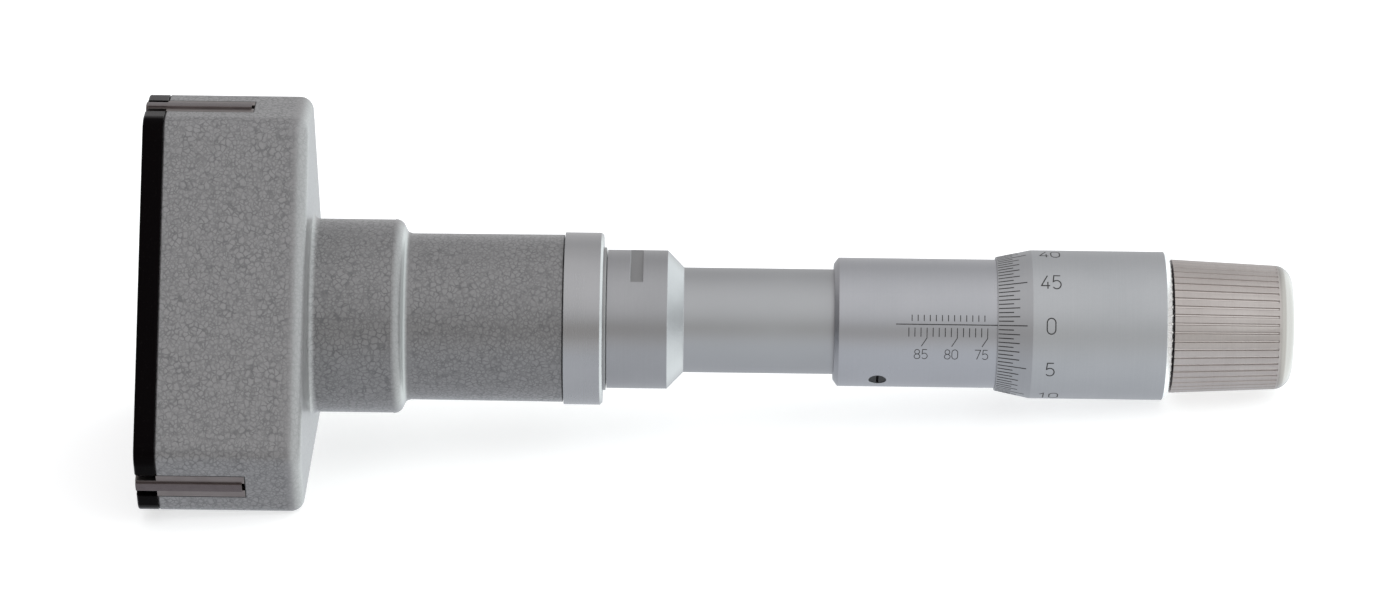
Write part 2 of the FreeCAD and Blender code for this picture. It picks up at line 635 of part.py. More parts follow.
def make_jaw_tip(index, turn):
    """The hard strip in a jaw, with a crowned face."""
    label = "jaw_tip_%d" % index
    length = x.slot_end - d.side_gap - d.tip_gap - d.run_gap
    top = d.facet_r + d.tip_proud
    bar = doc.addObject("Part::Box", "tip_bar_%d" % index)
    crown = doc.addObject("Part::Cylinder", "tip_crown_%d" % index)
    for item, name, size in (
        (bar, "Length", length), (bar, "Width", d.tip_w), (bar, "Height", d.tip_sink + d.tip_proud),
        (crown, "Radius", d.tip_crown_r), (crown, "Height", length),
    ):
        setattr(item, name, size.value)
        item.setExpression(name, size.formula)
    low = d.facet_r - d.tip_sink
    bar.Placement.Base = FreeCAD.Vector(d.run_gap.value, -d.tip_w.value / 2, low.value)
    bar.setExpression("Placement.Base.x", d.run_gap.formula)
    bar.setExpression("Placement.Base.y", (-d.tip_w / 2).formula)
    bar.setExpression("Placement.Base.z", low.formula)
    crown.Placement = FreeCAD.Placement(
        FreeCAD.Vector(d.run_gap.value, 0, (top - d.tip_crown_r).value),
        FreeCAD.Rotation(FreeCAD.Vector(0, 1, 0), 90),
    )
    crown.setExpression("Placement.Base.x", d.run_gap.formula)
    crown.setExpression("Placement.Base.z", (top - d.tip_crown_r).formula)
    strip = doc.addObject("Part::Common", label)
    strip.Label = label
    strip.Base = bar
    strip.Tool = crown
    strip.Placement = FreeCAD.Placement(
        FreeCAD.Vector(0, 0, 0), FreeCAD.Rotation(FreeCAD.Vector(1, 0, 0), turn)
    )
    return strip


def coil_shape(mean_r, wire, length, turns):
    """A coil of square wire round Z with closed ends, in short straight pieces."""
    end_rise = wire * END_PITCH / TURN_STEPS
    open_steps = (turns - 2) * TURN_STEPS
    open_rise = (length - wire * 1.5 - wire * END_PITCH * 2) / open_steps
    height = wire * 0.75
    path = []
    for i in range(turns * TURN_STEPS + 1):
        angle = 2 * math.pi * i / TURN_STEPS
        path.append(FreeCAD.Vector(mean_r * math.cos(angle), mean_r * math.sin(angle), height))
        closed = i < TURN_STEPS or i >= open_steps + TURN_STEPS
        height += end_rise if closed else open_rise
    half = wire / 2
    corners = [(-half, -half), (half, -half), (half, half), (-half, half), (-half, -half)]
    section = Part.makePolygon([
        FreeCAD.Vector(mean_r + across, 0, path[0].z + up) for across, up in corners
    ])
    return Part.makePolygon(path).makePipeShell([section], True, False, 1)


def make_spring(label, mean_r, wire, length, turns, placement):
    spring = doc.addObject("Part::Feature", label)
    spring.Label = label
    spring.Shape = coil_shape(mean_r.value, wire.value, length.value, turns)
    spring.Placement = placement
    return spring


def make_turned(label, points, turn=0.0):
    """A piece that is one turned solid with its bore."""
    body = new_body(label, turn)
    turned(body, label + "_turned", points)
    return body


def make_cone():
    """The measuring cone, with a blind hole for its rod."""
    hole_r = d.rod_stud_r + d.fit_gap
    bottom = x.cone_end - d.cone_bore_depth
    return make_turned("cone", [
        (x.cone, axis), (x.cone, d.cone_front_r), (x.cone_end, r.cone_rear), (x.cone_end, hole_r),
        (bottom, hole_r), (bottom, axis),
    ])


def make_cone_rod():
    """The rod behind the cone, with its collar and the seat for the ball."""
    seat_r = d.ball_r + d.fit_gap
    stud = x.cone_end - d.cone_bore_depth + d.fit_gap
    return make_turned("cone_rod", [
        (stud, axis), (stud, d.rod_stud_r), (x.cone_end, d.rod_stud_r), (x.cone_end, d.rod_r),
        (x.rod_collar, d.rod_r), (x.rod_collar, d.rod_collar_r), (x.rod_collar_end, d.rod_collar_r),
        (x.rod_collar_end, d.rod_tail_r), (x.rod_end, d.rod_tail_r), (x.rod_end, seat_r),
        (x.rod_end - d.ball_seat, seat_r), (x.rod_end - d.ball_seat, axis),
    ])


def make_thrust_ball():
    ball = doc.addObject("Part::Sphere", "thrust_ball")
    ball.Label = "thrust_ball"
    ball.Radius = d.ball_r.value
    ball.setExpression("Radius", d.ball_r.formula)
    ball.Placement.Base = FreeCAD.Vector(x.ball.value, 0, 0)
    ball.setExpression("Placement.Base.x", x.ball.formula)
    return ball


def make_guide_bush():
    inner = d.rod_r + d.run_gap
    outer = d.bush_r - d.fit_gap
    return make_turned("guide_bush", [
        (x.bush, inner), (x.bush, outer), (x.bush_end, outer), (x.bush_end, inner),
    ])


def make_collar():
    """The bare ring over the end of the casting."""
    inner = d.stub_r + d.fit_gap
    lip_r = d.spigot_r + d.fit_gap
    return make_turned("collar", [
        (x.collar, inner), (x.collar, d.collar_r), (x.collar_end - d.collar_bevel, d.collar_r),
        (x.collar_end, d.collar_r - d.collar_bevel), (x.collar_end, lip_r), (x.stub_end, lip_r),
        (x.stub_end, inner),
    ])


def make_seal_ring():
    inner = d.spigot_r + d.fit_gap
    return make_turned("seal_ring", [
        (x.collar_end, inner), (x.collar_end, d.seal_r), (x.seal_end, d.seal_r), (x.seal_end, inner),
    ])


def make_frame_tube():
    """Coupling and tube in one, with the spanner flats and the spindle's guide."""
    body = new_body("frame_tube", d.flat_turn.value)
    spigot_r = d.spigot_r - d.fit_gap
    guide_r = d.spindle_r + d.run_gap
    turned(body, "tube_turned", [
        (x.spigot, d.front_bore_r), (x.spigot, spigot_r), (x.coupling, spigot_r),
        (x.coupling, d.coupling_r), (x.coupling_end, d.coupling_r), (x.tube, d.tube_r),
        (x.barrel_end, d.tube_r), (x.barrel_end, d.nut_r), (x.nut, d.nut_r), (x.nut, d.relief_r),
        (x.relief, d.relief_r), (x.relief, guide_r), (x.guide, guide_r), (x.guide, d.front_bore_r),
    ])
    start = x.coupling + d.flat_at
    flats = outline(body, "flat_profile", "XZ_Plane", [
        (start, r.flat), (start + d.flat_w, r.flat), (start + d.flat_w, d.collar_r),
        (start, d.collar_r),
    ])
    flats = pocketed(body, "spanner_flat", flats, d.coupling_r * 2, both_ways=True)
    repeated(body, flats, 2)
    return body


def make_thread_nut():
    """The nut for the spindle's screw, with a slit and tapered tail."""
    body = new_body("thread_nut")
    bore = d.thread_r + d.run_gap
    outer = d.nut_r - d.fit_gap
    turned(body, "nut_turned", [
        (x.nut, bore), (x.nut, outer), (x.nut_tail, outer), (x.nut_tail, r.nut_tail_front),
        (x.nut_end, r.nut_tail_rear), (x.nut_end, bore),
    ])
    slit = outline(body, "slit_profile", "XZ_Plane", [
        (x.nut_tail, axis), (x.nut_end, axis), (x.nut_end, d.nut_r), (x.nut_tail, d.nut_r),
    ])
    slit = pocketed(body, "nut_slit", slit, d.nut_slit_w, both_ways=True)
    repeated(body, slit, 3)
    return body


def make_adjusting_nut():
    """The ring that closes the slit tail, with two notches for its spanner."""
    body = new_body("adjusting_nut")
    drop = d.nut_tail_drop / (x.nut_end - x.nut_tail)
    front_r = r.nut_tail_front - drop * (x.ring - x.nut_tail) + d.fit_gap
    rear_r = r.nut_tail_front - drop * (x.ring_end - x.nut_tail) + d.fit_gap
    outer = d.nut_r - d.run_gap
    turned(body, "adjusting_turned", [
        (x.ring, front_r), (x.ring, outer), (x.ring_end, outer), (x.ring_end, rear_r),
    ])
    notch = outline(body, "notch_profile", "XZ_Plane", [
        (x.ring_end - d.ring_notch_w, axis), (x.ring_end, axis), (x.ring_end, d.nut_r),
        (x.ring_end - d.ring_notch_w, d.nut_r),
    ])
    notch = pocketed(body, "adjusting_notch", notch, d.ring_notch_w, both_ways=True)
    repeated(body, notch, 2)
    return body


def make_barrel():
    """The sleeve that carries the millimetre scale."""
    body = new_body("barrel", d.barrel_screw_turn.value)
    turned(body, "barrel_turned", [
        (x.barrel, r.barrel_bore), (x.barrel, r.barrel - d.barrel_bevel_depth),
        (x.barrel + d.barrel_bevel_len, r.barrel), (x.barrel_end, r.barrel),
        (x.barrel_end, r.barrel_bore),
    ])
    hole = ring_outline(
        body, "barrel_hole_profile", "XY_Plane", x.barrel + d.barrel_screw_at, axis,
        d.barrel_screw_r + d.fit_gap, axis,
    )
    pocketed(body, "barrel_hole", hole, r.barrel + d.fit_gap, forward=True)
    return body


def make_barrel_screw():
    """The slotted grub screw that locks the barrel on the tube."""
    body = new_body("barrel_screw", d.barrel_screw_turn.value)
    top = r.barrel - d.barrel_screw_sunk
    bottom = r.barrel_bore
    station = x.barrel + d.barrel_screw_at
    disc = ring_outline(
        body, "grub_profile", "XY_Plane", station, axis, d.barrel_screw_r, bottom,
    )
    extruded(body, "grub", disc, top - bottom)
    half = d.barrel_slot_w / 2
    slot = outline(body, "grub_slot_profile", "XZ_Plane", [
        (station - half, top - d.screw_slot_depth), (station + half, top - d.screw_slot_depth),
        (station + half, top), (station - half, top),
    ])
    pocketed(body, "grub_slot", slot, d.barrel_screw_r * 2, both_ways=True)
    return body


def make_spindle():
    """The turning screw, with its taper seat and the hole for the ratchet shaft."""
    hole_r = d.bolt_stud_r + d.fit_gap
    hole_end = x.thimble_end - d.bolt_stud_len - d.fit_gap
    screw_start = x.nut - d.thread_lead
    return make_turned("spindle", [
        (x.spindle, axis), (x.spindle, d.spindle_r - d.spindle_nose),
        (x.spindle + d.spindle_nose, d.spindle_r), (screw_start, d.spindle_r),
        (screw_start, d.thread_r), (x.seat, d.thread_r), (x.seat, d.seat_front_r),
        (x.spindle_end, d.seat_rear_r), (x.spindle_end, hole_r), (hole_end, hole_r), (hole_end, axis),
    ])


def make_thimble():
    """The thimble: thin graduated bevel in front, end wall with the taper seat behind."""
    drop = (d.seat_front_r - d.seat_rear_r) / (x.spindle_end - x.seat)
    seat_front = d.seat_front_r - drop * (x.thimble_wall - x.seat) + d.fit_gap
    seat_rear = d.seat_front_r - drop * (x.thimble_end - x.seat) + d.fit_gap
    return make_turned("thimble", [
        (x.thimble, r.thimble_bore), (x.thimble, r.thimble_bore + d.thimble_edge_t),
        (x.thimble + d.thimble_bevel_len, r.thimble),
        (x.thimble_end - d.thimble_rear_len, r.thimble),
        (x.thimble_end, r.thimble - d.thimble_rear_depth), (x.thimble_end, seat_rear),
        (x.thimble_wall, seat_front), (x.thimble_wall, r.thimble_bore),
    ])


def make_ratchet_shaft():
    """The bolt that holds the thimble on the spindle and carries the lower ratchet teeth."""
    body = new_body("ratchet_shaft")
    stud = x.thimble_end - d.bolt_stud_len
    pilot_end = x.flange_end + d.pilot_len
    turned(body, "shaft_turned", [
        (stud, axis), (stud, d.bolt_stud_r), (x.thimble_end, d.bolt_stud_r),
        (x.thimble_end, d.bolt_head_r), (x.bolt_head_end, d.bolt_head_r),
        (x.bolt_head_end, d.journal_r), (x.flange, d.journal_r), (x.flange, r.flange),
        (x.flange_end, r.flange), (x.flange_end, d.pilot_r), (pilot_end, d.pilot_r),
        (pilot_end, axis),
    ])
    half = d.tooth_w / 2
    notch = outline(body, "tooth_notch_profile", "XY_Plane", [
        (x.flange_end - d.tooth_h, axis), (x.flange_end, half), (x.flange_end, -half),
    ], d.journal_r)
    notch = pocketed(body, "tooth_notch", notch, r.flange, forward=True)
    repeated(body, notch, d.tooth_count)
    return body


def make_ratchet_disc():
    """The disc that clicks over the flange's teeth, with two ears in the knob's keyways."""
    body = new_body("ratchet_disc")
    bore = d.pilot_r + d.run_gap
    outer = r.flange
    turned(body, "disc_turned", [
        (x.disc, bore), (x.disc, outer), (x.disc_end, outer), (x.disc_end, bore),
    ])
    half_ear = d.keyway_w / 2 - d.run_gap
    ear_r = r.keyway - d.run_gap * 4
    ear = outline(body, "ear_profile", "YZ_Plane", [
        (-half_ear, d.journal_r), (half_ear, d.journal_r), (half_ear, ear_r), (-half_ear, ear_r),
    ], x.disc)
    ear = extruded(body, "ear", ear, d.disc_t)
    repeated(body, ear, 2)
    half = d.tooth_w / 2
    start = d.journal_r + d.run_gap * 4
    tooth = outline(body, "tooth_profile", "XY_Plane", [
        (x.flange_end + d.run_gap - d.tooth_h + d.run_gap, axis), (x.disc, half - d.run_gap),
        (x.disc + d.run_gap, axis), (x.disc, -half + d.run_gap),
    ], start)
    tooth = extruded(body, "tooth", tooth, r.flange - start - d.run_gap * 4)
    repeated(body, tooth, d.tooth_count)
    return body


def make_knob():
    """The fluted knob, hollow in front for the ratchet."""
    body = new_body("ratchet_knob")
    knob = turned(body, "knob_turned", [
        (x.knob, d.knob_bore_r), (x.knob, d.knob_front_r), (x.knob_end, d.knob_rear_r),
        (x.knob_end, axis), (x.knob_floor, axis), (x.knob_floor, d.knob_bore_r),
    ])
    dressed(
        body, "Fillet", "knob_end_rounding", knob,
        lambda edge: on_circle(edge, x.knob_end, d.knob_rear_r), d.knob_edge_r,
    )
    half_key = d.keyway_w / 2
    keyway = outline(body, "keyway_profile", "YZ_Plane", [
        (-half_key, d.journal_r), (half_key, d.journal_r), (half_key, r.keyway),
        (-half_key, r.keyway),
    ], x.knob)
    keyway = pocketed(body, "keyway", keyway, d.knob_len - d.knob_end_t, forward=True)
    repeated(body, keyway, 2)
    shrink = (d.knob_front_r - d.knob_rear_r) / (x.knob_end - x.knob)
    sections = []
    for name, station in (("front", x.knob), ("rear", x.flute_end)):
        surface_r = d.knob_front_r - shrink * (station - x.knob)
        floor_r = surface_r - d.flute_depth
        half_floor = d.flute_floor_w / 2
        half_top = half_floor + (d.flute_w - d.flute_floor_w)
        sections.append(outline(body, "flute_" + name, "YZ_Plane", [
            (-half_floor, floor_r), (half_floor, floor_r),
            (half_top, surface_r + d.flute_depth), (-half_top, surface_r + d.flute_depth),
        ], station))
    flute = body.newObject("PartDesign::SubtractiveLoft", "flute")
    flute.Profile = sections[0]
    flute.Sections = sections[1:]
    flute.Ruled = True
    finished(body, flute, "cuts")
    repeated(body, flute, d.flute_count)
    return body


def make_ratchet_ring():
    """The threaded ring in the mouth of the knob."""
    inner = d.journal_r + d.run_gap
    outer = d.knob_bore_r - d.fit_gap
    end = x.retainer + d.ring_t
    return make_turned("ratchet_ring", [
        (x.retainer, inner), (x.retainer, outer), (end, outer), (end, inner),
    ])


spring_station = x.slot_end + (d.pocket_len - d.side_gap) / 2

pieces = [
    make_head(), make_cap(), make_cap_screws(), make_guide_bush(), make_collar(), make_seal_ring(),
    make_frame_tube(), make_thread_nut(), make_adjusting_nut(), make_barrel(), make_barrel_screw(),
    make_cone(), make_cone_rod(), make_thrust_ball(), make_spindle(), make_thimble(),
    make_ratchet_shaft(), make_ratchet_disc(), make_knob(), make_ratchet_ring(),
]

along_x = FreeCAD.Rotation(FreeCAD.Vector(0, 1, 0), 90)
pieces.append(make_spring(
    "cone_spring", d.cone_spring_r, d.cone_spring_wire, d.cone_spring_len, 9,
    FreeCAD.Placement(FreeCAD.Vector(x.bush_end.value, 0, 0), along_x),
))
pieces.append(make_spring(
    "ratchet_spring", d.ratchet_spring_r, d.ratchet_spring_wire, x.knob_floor - x.disc_end, 5,
    FreeCAD.Placement(FreeCAD.Vector(x.disc_end.value, 0, 0), along_x),
))
for jaw in range(JAWS):
    turn = 360.0 * jaw / JAWS
    pieces.append(make_jaw(jaw + 1, turn))
    pieces.append(make_jaw_tip(jaw + 1, turn))
    low = d.foot_top_r - d.jaw_spring_seat
    turned_to = FreeCAD.Rotation(FreeCAD.Vector(1, 0, 0), turn)
    foot = FreeCAD.Vector(spring_station.value, 0, 0) + turned_to.multVec(
        FreeCAD.Vector(0, 0, low.value)
    )
    pieces.append(make_spring(
        "jaw_spring_%d" % (jaw + 1), d.jaw_spring_r, d.jaw_spring_wire, d.pocket_r - low, 9,
        FreeCAD.Placement(foot, turned_to),
    ))

doc.recompute()
for item in doc.Objects:
    if "Invalid" in item.State or "Error" in item.State:
        raise RuntimeError("%s did not build: %s" % (item.Name, item.State))
for piece in pieces:
    if piece.Shape.isNull() or not piece.Shape.isValid():
        raise RuntimeError("%s has no valid shape" % piece.Label)

os.makedirs("parts", exist_ok=True)
for piece in pieces:
    piece.Shape.exportStep("parts/%s.step" % piece.Label)
print("%d pieces" % len(pieces))
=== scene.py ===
import bpy
import json
import math
from mathutils import Matrix, Vector


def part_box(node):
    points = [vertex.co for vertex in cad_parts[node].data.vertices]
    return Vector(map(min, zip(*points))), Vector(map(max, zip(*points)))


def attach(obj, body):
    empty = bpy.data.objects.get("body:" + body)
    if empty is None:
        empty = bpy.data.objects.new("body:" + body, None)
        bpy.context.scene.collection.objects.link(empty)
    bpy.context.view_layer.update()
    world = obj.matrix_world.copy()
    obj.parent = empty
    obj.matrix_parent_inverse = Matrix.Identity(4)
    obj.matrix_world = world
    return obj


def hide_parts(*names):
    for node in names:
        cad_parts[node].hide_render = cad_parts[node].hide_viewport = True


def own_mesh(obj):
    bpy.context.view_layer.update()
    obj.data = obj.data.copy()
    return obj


# Three-point internal micrometer: materials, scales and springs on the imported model.
# Lengths are metres in Blender; the tables below are in millimetres and converted once.
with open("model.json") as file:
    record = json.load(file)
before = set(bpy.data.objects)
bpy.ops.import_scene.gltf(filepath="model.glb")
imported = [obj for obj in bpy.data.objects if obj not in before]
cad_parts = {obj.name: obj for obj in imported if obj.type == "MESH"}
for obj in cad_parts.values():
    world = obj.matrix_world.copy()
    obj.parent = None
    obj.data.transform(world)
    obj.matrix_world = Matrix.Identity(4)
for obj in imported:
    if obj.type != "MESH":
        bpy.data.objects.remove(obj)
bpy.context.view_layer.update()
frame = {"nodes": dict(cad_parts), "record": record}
MM = 0.001

# Stations along X: where the jaw slots, the head, its neck and the seal ring end, where the slim tube,
# the thimble's rear chamfer and the knob start, and the knob's flutes, crown and end
SLOT_END = 17.85
HEAD_END = 27.15
NECK_END = 42.4
SEAL_END = 76.26
TUBE_START = 88.8
CHAMFER_START = 168.45
KNOB_START = 169.8
FLUTE_END = 187.1
CROWN_START = 188.3
KNOB_END = 189.8
# Sizes: the jaw slots and the painted shade line round them, and the radii of the strips' crowns, of
# the coupling beside its flats and of the knob's two ends
SLOT_W = 5.4
SLOT_SHADE_LINE = 0.12
CROWN_R = 36.75
ROUND_R = 11.5
KNOB_FRONT_R = 11.1
KNOB_REAR_R = 10.17
# Stations of the two edges on which the veins of the enamel fade
HEAD_EDGE = HEAD_END - 0.9
NECK_EDGE = NECK_END - 0.1

# Camera: a little above the axis, with a long lens and a slight roll
ELEVATION = math.radians(20.5)
ROLL = math.radians(0.744)
DISTANCE = 0.972
LENS = 150
SENSOR = 36
AIM_STATION = 91.5
AIM_RISE = 2.49


def make_camera():
    look = Vector((0, math.cos(ELEVATION), -math.sin(ELEVATION)))
    rise = Vector((0, math.sin(ELEVATION), math.cos(ELEVATION)))
    along = Vector((1, 0, 0))
    right = along * math.cos(ROLL) + rise * math.sin(ROLL)
    up = rise * math.cos(ROLL) - along * math.sin(ROLL)
    place = along * AIM_STATION * MM + up * AIM_RISE * MM - look * DISTANCE
    data = bpy.data.cameras.new("camera")
    data.lens = LENS
    data.sensor_fit = "HORIZONTAL"
    data.sensor_width = SENSOR
    camera = bpy.data.objects.new("camera", data)
    bpy.context.scene.collection.objects.link(camera)
    turned = Matrix((right, up, -look)).transposed().to_4x4()
    camera.matrix_world = Matrix.Translation(place) @ turned
    bpy.context.scene.camera = camera


def new_piece(name, corners, faces, material):
    """An object with one mesh of these corners and faces, linked to the scene."""
    mesh = bpy.data.meshes.new(name)
    mesh.from_pydata(corners, [], faces)
    mesh.validate()
    mesh.materials.append(material)
    made = bpy.data.objects.new(name, mesh)
    bpy.context.scene.collection.objects.link(made)
    return made


class Shading:
    """A node tree with short calls for the nodes that the materials here share."""

    def __init__(self, tree):
        self.tree = tree
        tree.nodes.clear()

    def node(self, kind, inputs=None, **settings):
        made = self.tree.nodes.new("ShaderNode" + kind)
        for name, value in settings.items():
            setattr(made, name, value)
        for name, value in (inputs or {}).items():
            if isinstance(value, bpy.types.NodeSocket):
                self.tree.links.new(value, made.inputs[name])
            else:
                made.inputs[name].default_value = value
        return made

    def maths(self, operation, first, second=0.0):
        return self.node("Math", {0: first, 1: second}, operation=operation).outputs[0]

    def scaled(self, value, low, high, to_low=0.0, to_high=1.0, smooth=False):
        """Maps low..high onto to_low..to_high and holds the ends."""
        kind = "SMOOTHSTEP" if smooth else "LINEAR"
        inputs = {"Value": value, "From Min": low, "From Max": high, "To Min": to_low, "To Max": to_high}
        return self.node("MapRange", inputs, interpolation_type=kind, clamp=True).outputs["Result"]

    def mixed(self, share, first, second):
        """A colour between the first and the second, whose sockets on a Mix node are 6 and 7."""
        return self.node("Mix", {0: share, 6: first, 7: second}, data_type="RGBA").outputs[2]

    def noise(self, place, scale, detail=2.0, roughness=0.5):
        inputs = {"Vector": place, "Scale": scale, "Detail": detail, "Roughness": roughness}
        return self.node("TexNoise", inputs).outputs["Fac"]

    def stretched(self, place, factors, shift=(0, 0, 0)):
        inputs = {"Vector": place, "Scale": factors, "Location": shift}
        return self.node("Mapping", inputs).outputs["Vector"]


class Surface(Shading):
    """A principled material on the piece's own coordinates."""

    def __init__(self, name, **sockets):
        self.material = bpy.data.materials.new(name)
        self.material.use_nodes = True
        super().__init__(self.material.node_tree)
        self.place = self.node("TexCoord").outputs["Object"]
        self.shader = self.node("BsdfPrincipled", sockets)
        self.node("OutputMaterial", {"Surface": self.shader.outputs["BSDF"]})

    def feed(self, socket, value):
        self.tree.links.new(value, self.shader.inputs[socket])

    def fed(self, socket):
        """What feeds a socket of the shader now."""
        return self.shader.inputs[socket].links[0].from_socket

    def station(self):
        """Place along X."""
        return self.node("SeparateXYZ", {"Vector": self.place}).outputs["X"]

    def from_axis(self):
        """Distance from X."""
        across = self.node("VectorMath", {0: self.place, 1: (0, 1, 1)}, operation="MULTIPLY").outputs[0]
        return self.node("VectorMath", {0: across}, operation="LENGTH").outputs["Value"]

    def bump(self, height, depth, strength=1.0, edge=0.0):
        """Relief of this depth in millimetres; edge rounds the sharp edges by a radius in millimetres."""
        inputs = {"Height": height, "Distance": depth * MM, "Strength": strength}
        if edge:
            rounded = self.node("Bevel", {"Radius": edge * MM}, samples=4)
            inputs["Normal"] = rounded.outputs["Normal"]
        self.feed("Normal", self.node("Bump", inputs).outputs["Normal"])


def tone(red, green, blue):
    return (red, green, blue, 1.0)


def turned_metal(name, light, dark, rough, ring_mm=0.12, relief=0.0012, seed=0.0, edge=0.15):
    """Metal turned on a lathe: fine rings round X, faint clouds and an uneven satin finish."""
    made = Surface(name, Metallic=1.0)
    place = made.stretched(made.place, (1, 1, 1), (seed, 0, 0))
    rings = made.noise(made.stretched(place, (1 / (ring_mm * MM), 30, 30)), 1.0, 3.0, 0.6)
    clouds = made.noise(place, 90.0, 4.0, 0.55)
    grains = made.noise(place, 2600.0, 2.0, 0.5)
    share = made.maths("MULTIPLY", made.scaled(clouds, 0.3, 0.7), 0.6)
    share = made.maths("ADD", share, made.scaled(rings, 0.3, 0.7, 0.0, 0.25))
    share = made.maths("ADD", share, made.scaled(grains, 0.35, 0.65, 0.0, 0.15))
    made.feed("Base Color", made.mixed(share, light, dark))
    uneven = made.maths("ADD", made.scaled(clouds, 0.3, 0.7, -0.03, 0.03), rough)
    uneven = made.maths("ADD", uneven, made.scaled(rings, 0.3, 0.7, -0.02, 0.02))
    made.feed("Roughness", uneven)
    height = made.maths("ADD", rings, made.maths("MULTIPLY", grains, 0.8))
    made.bump(height, relief, 1.0, edge)
    return made


def ground_metal(name, light, dark, rough, line_mm=0.05, edge=0.12):
    """Metal ground along X: long fine scratches and slight discolouring."""
    made = Surface(name, Metallic=1.0)
    fine = 1 / (line_mm * MM)
    lines = made.noise(made.stretched(made.place, (fine * 0.02, fine, fine)), 1.0, 3.0, 0.6)
    stains = made.noise(made.place, 260.0, 3.0, 0.6)
    scratched = made.scaled(lines, 0.3, 0.7, 0.0, 0.6)
    share = made.maths("ADD", scratched, made.scaled(stains, 0.35, 0.65, 0.0, 0.4))
    made.feed("Base Color", made.mixed(share, light, dark))
    made.feed("Roughness", made.scaled(lines, 0.25, 0.75, rough - 0.06, rough + 0.06))
    made.bump(lines, 0.002, 1.0, edge)
    return made


def hard_strip(name):
    """Ground hard metal of a jaw's strip, darker on the crown that touches the bore."""
    made = ground_metal(name, tone(0.3, 0.262, 0.258), tone(0.2, 0.172, 0.17), 0.3)
    outer = made.scaled(made.from_axis(), (CROWN_R - 0.03) * MM, (CROWN_R - 0.02) * MM)
    colour = made.fed("Base Color")
    clouds = made.noise(made.place, 900.0, 2.0, 0.5)
    crown = made.mixed(clouds, tone(0.155, 0.13, 0.13), tone(0.115, 0.094, 0.095))
    made.feed("Base Color", made.mixed(outer, colour, crown))
    return made


# Two nets of veins in the enamel: cells per metre, a vein's width and its strength
PAINT_NETS = ((1100.0, 0.18, 0.9), (1550.0, 0.24, 0.75))


def hammered_paint(name, rounding=0.3):
    """Grey hammered enamel with metal flakes: pale rounded cells and a broken net of darker veins."""
    made = Surface(name, Metallic=0.45)
    made.shader.inputs["Coat Weight"].default_value = 0.5
    made.shader.inputs["Coat Roughness"].default_value = 0.2
    wander = made.node("TexNoise", {"Vector": made.place, "Scale": 1000.0, "Detail": 2.0}).outputs["Color"]
    shift = made.node("VectorMath", {0: wander, 1: (-0.5, -0.5, -0.5)}, operation="ADD").outputs[0]
    shift = made.node("VectorMath", {0: shift, "Scale": 0.0009}, operation="SCALE").outputs[0]
    place = made.node("VectorMath", {0: made.place, 1: shift}, operation="ADD").outputs[0]
    nets = []
    for scale, width, strength in PAINT_NETS:
        edge = made.node("TexVoronoi", {"Vector": place, "Scale": scale}, feature="DISTANCE_TO_EDGE")
        middle = made.node("TexVoronoi", {"Vector": place, "Scale": scale}, feature="F1")
        line = made.scaled(edge.outputs["Distance"], 0.0, width, smooth=True, to_low=1.0, to_high=0.0)
        knot = made.scaled(middle.outputs["Distance"], 0.3, 0.8, smooth=True)
        line = made.maths("MULTIPLY", line, strength)
        nets.append(made.maths("ADD", line, made.maths("MULTIPLY", knot, 0.2)))
    finer = made.scaled(made.noise(made.place, 330.0, 2.0, 0.5), 0.4, 0.6, smooth=True)
    broken = made.scaled(made.noise(made.place, 800.0, 2.0, 0.5), 0.35, 0.6, 0.6, 1.0)
    vein = made.node("Mix", {0: finer, 2: nets[0], 3: nets[1]}, data_type="FLOAT").outputs[0]
    vein = made.maths("MULTIPLY", made.maths("MULTIPLY", vein, broken), away_from_edges(made))
    flakes = made.noise(made.place, 5200.0, 1.0, 0.5)
    pale = made.mixed(made.scaled(flakes, 0.3, 0.7), tone(0.225, 0.217, 0.219), tone(0.252, 0.243, 0.245))
    colour = made.mixed(vein, pale, tone(0.128, 0.124, 0.127))
    behind = made.scaled(made.station(), HEAD_END * MM, (HEAD_END + 4) * MM, 0.0, 0.1, smooth=True)
    colour = made.mixed(behind, colour, tone(0, 0, 0))
    # Painted shade: a near-black line round the jaw slots stands in for the shaded gaps beside the jaws.
    made.feed("Base Color", made.mixed(slot_edge(made), colour, tone(0.02, 0.019, 0.019)))
    made.feed("Roughness", made.scaled(vein, 0.0, 1.0, 0.36, 0.46))
    made.bump(made.maths("MULTIPLY", vein, -1.0), 0.016, 0.5, rounding)
    return made


def slope_paint(name):
    """The same enamel on the slope behind the neck, with a painted highlight: much paler in a narrow band at
    the hollow.
    """
    made = hammered_paint(name, rounding=0.0)
    apart = made.maths("ABSOLUTE", made.maths("SUBTRACT", made.station(), (NECK_END + 0.2) * MM))
    # Painted highlight: the enamel turns much paler in a narrow band where the slope runs into the sleeve.
    painted_highlight = made.scaled(apart, 0.15 * MM, 0.55 * MM, 0.8, 0.0, smooth=True)
    colour = made.fed("Base Color")
    made.feed("Base Color", made.mixed(painted_highlight, colour, tone(0.36, 0.365, 0.365)))
    return made


def away_from_edges(made):
    """Full over the even enamel and down to about a third on the rear edges of the head and its neck."""
    apart = [
        made.maths("ABSOLUTE", made.maths("SUBTRACT", made.station(), place * MM))
        for place in (HEAD_EDGE, NECK_EDGE)
    ]
    nearest = made.maths("MINIMUM", *apart)
    return made.scaled(nearest, 0.9 * MM, 2.4 * MM, 0.35, 1.0, smooth=True)


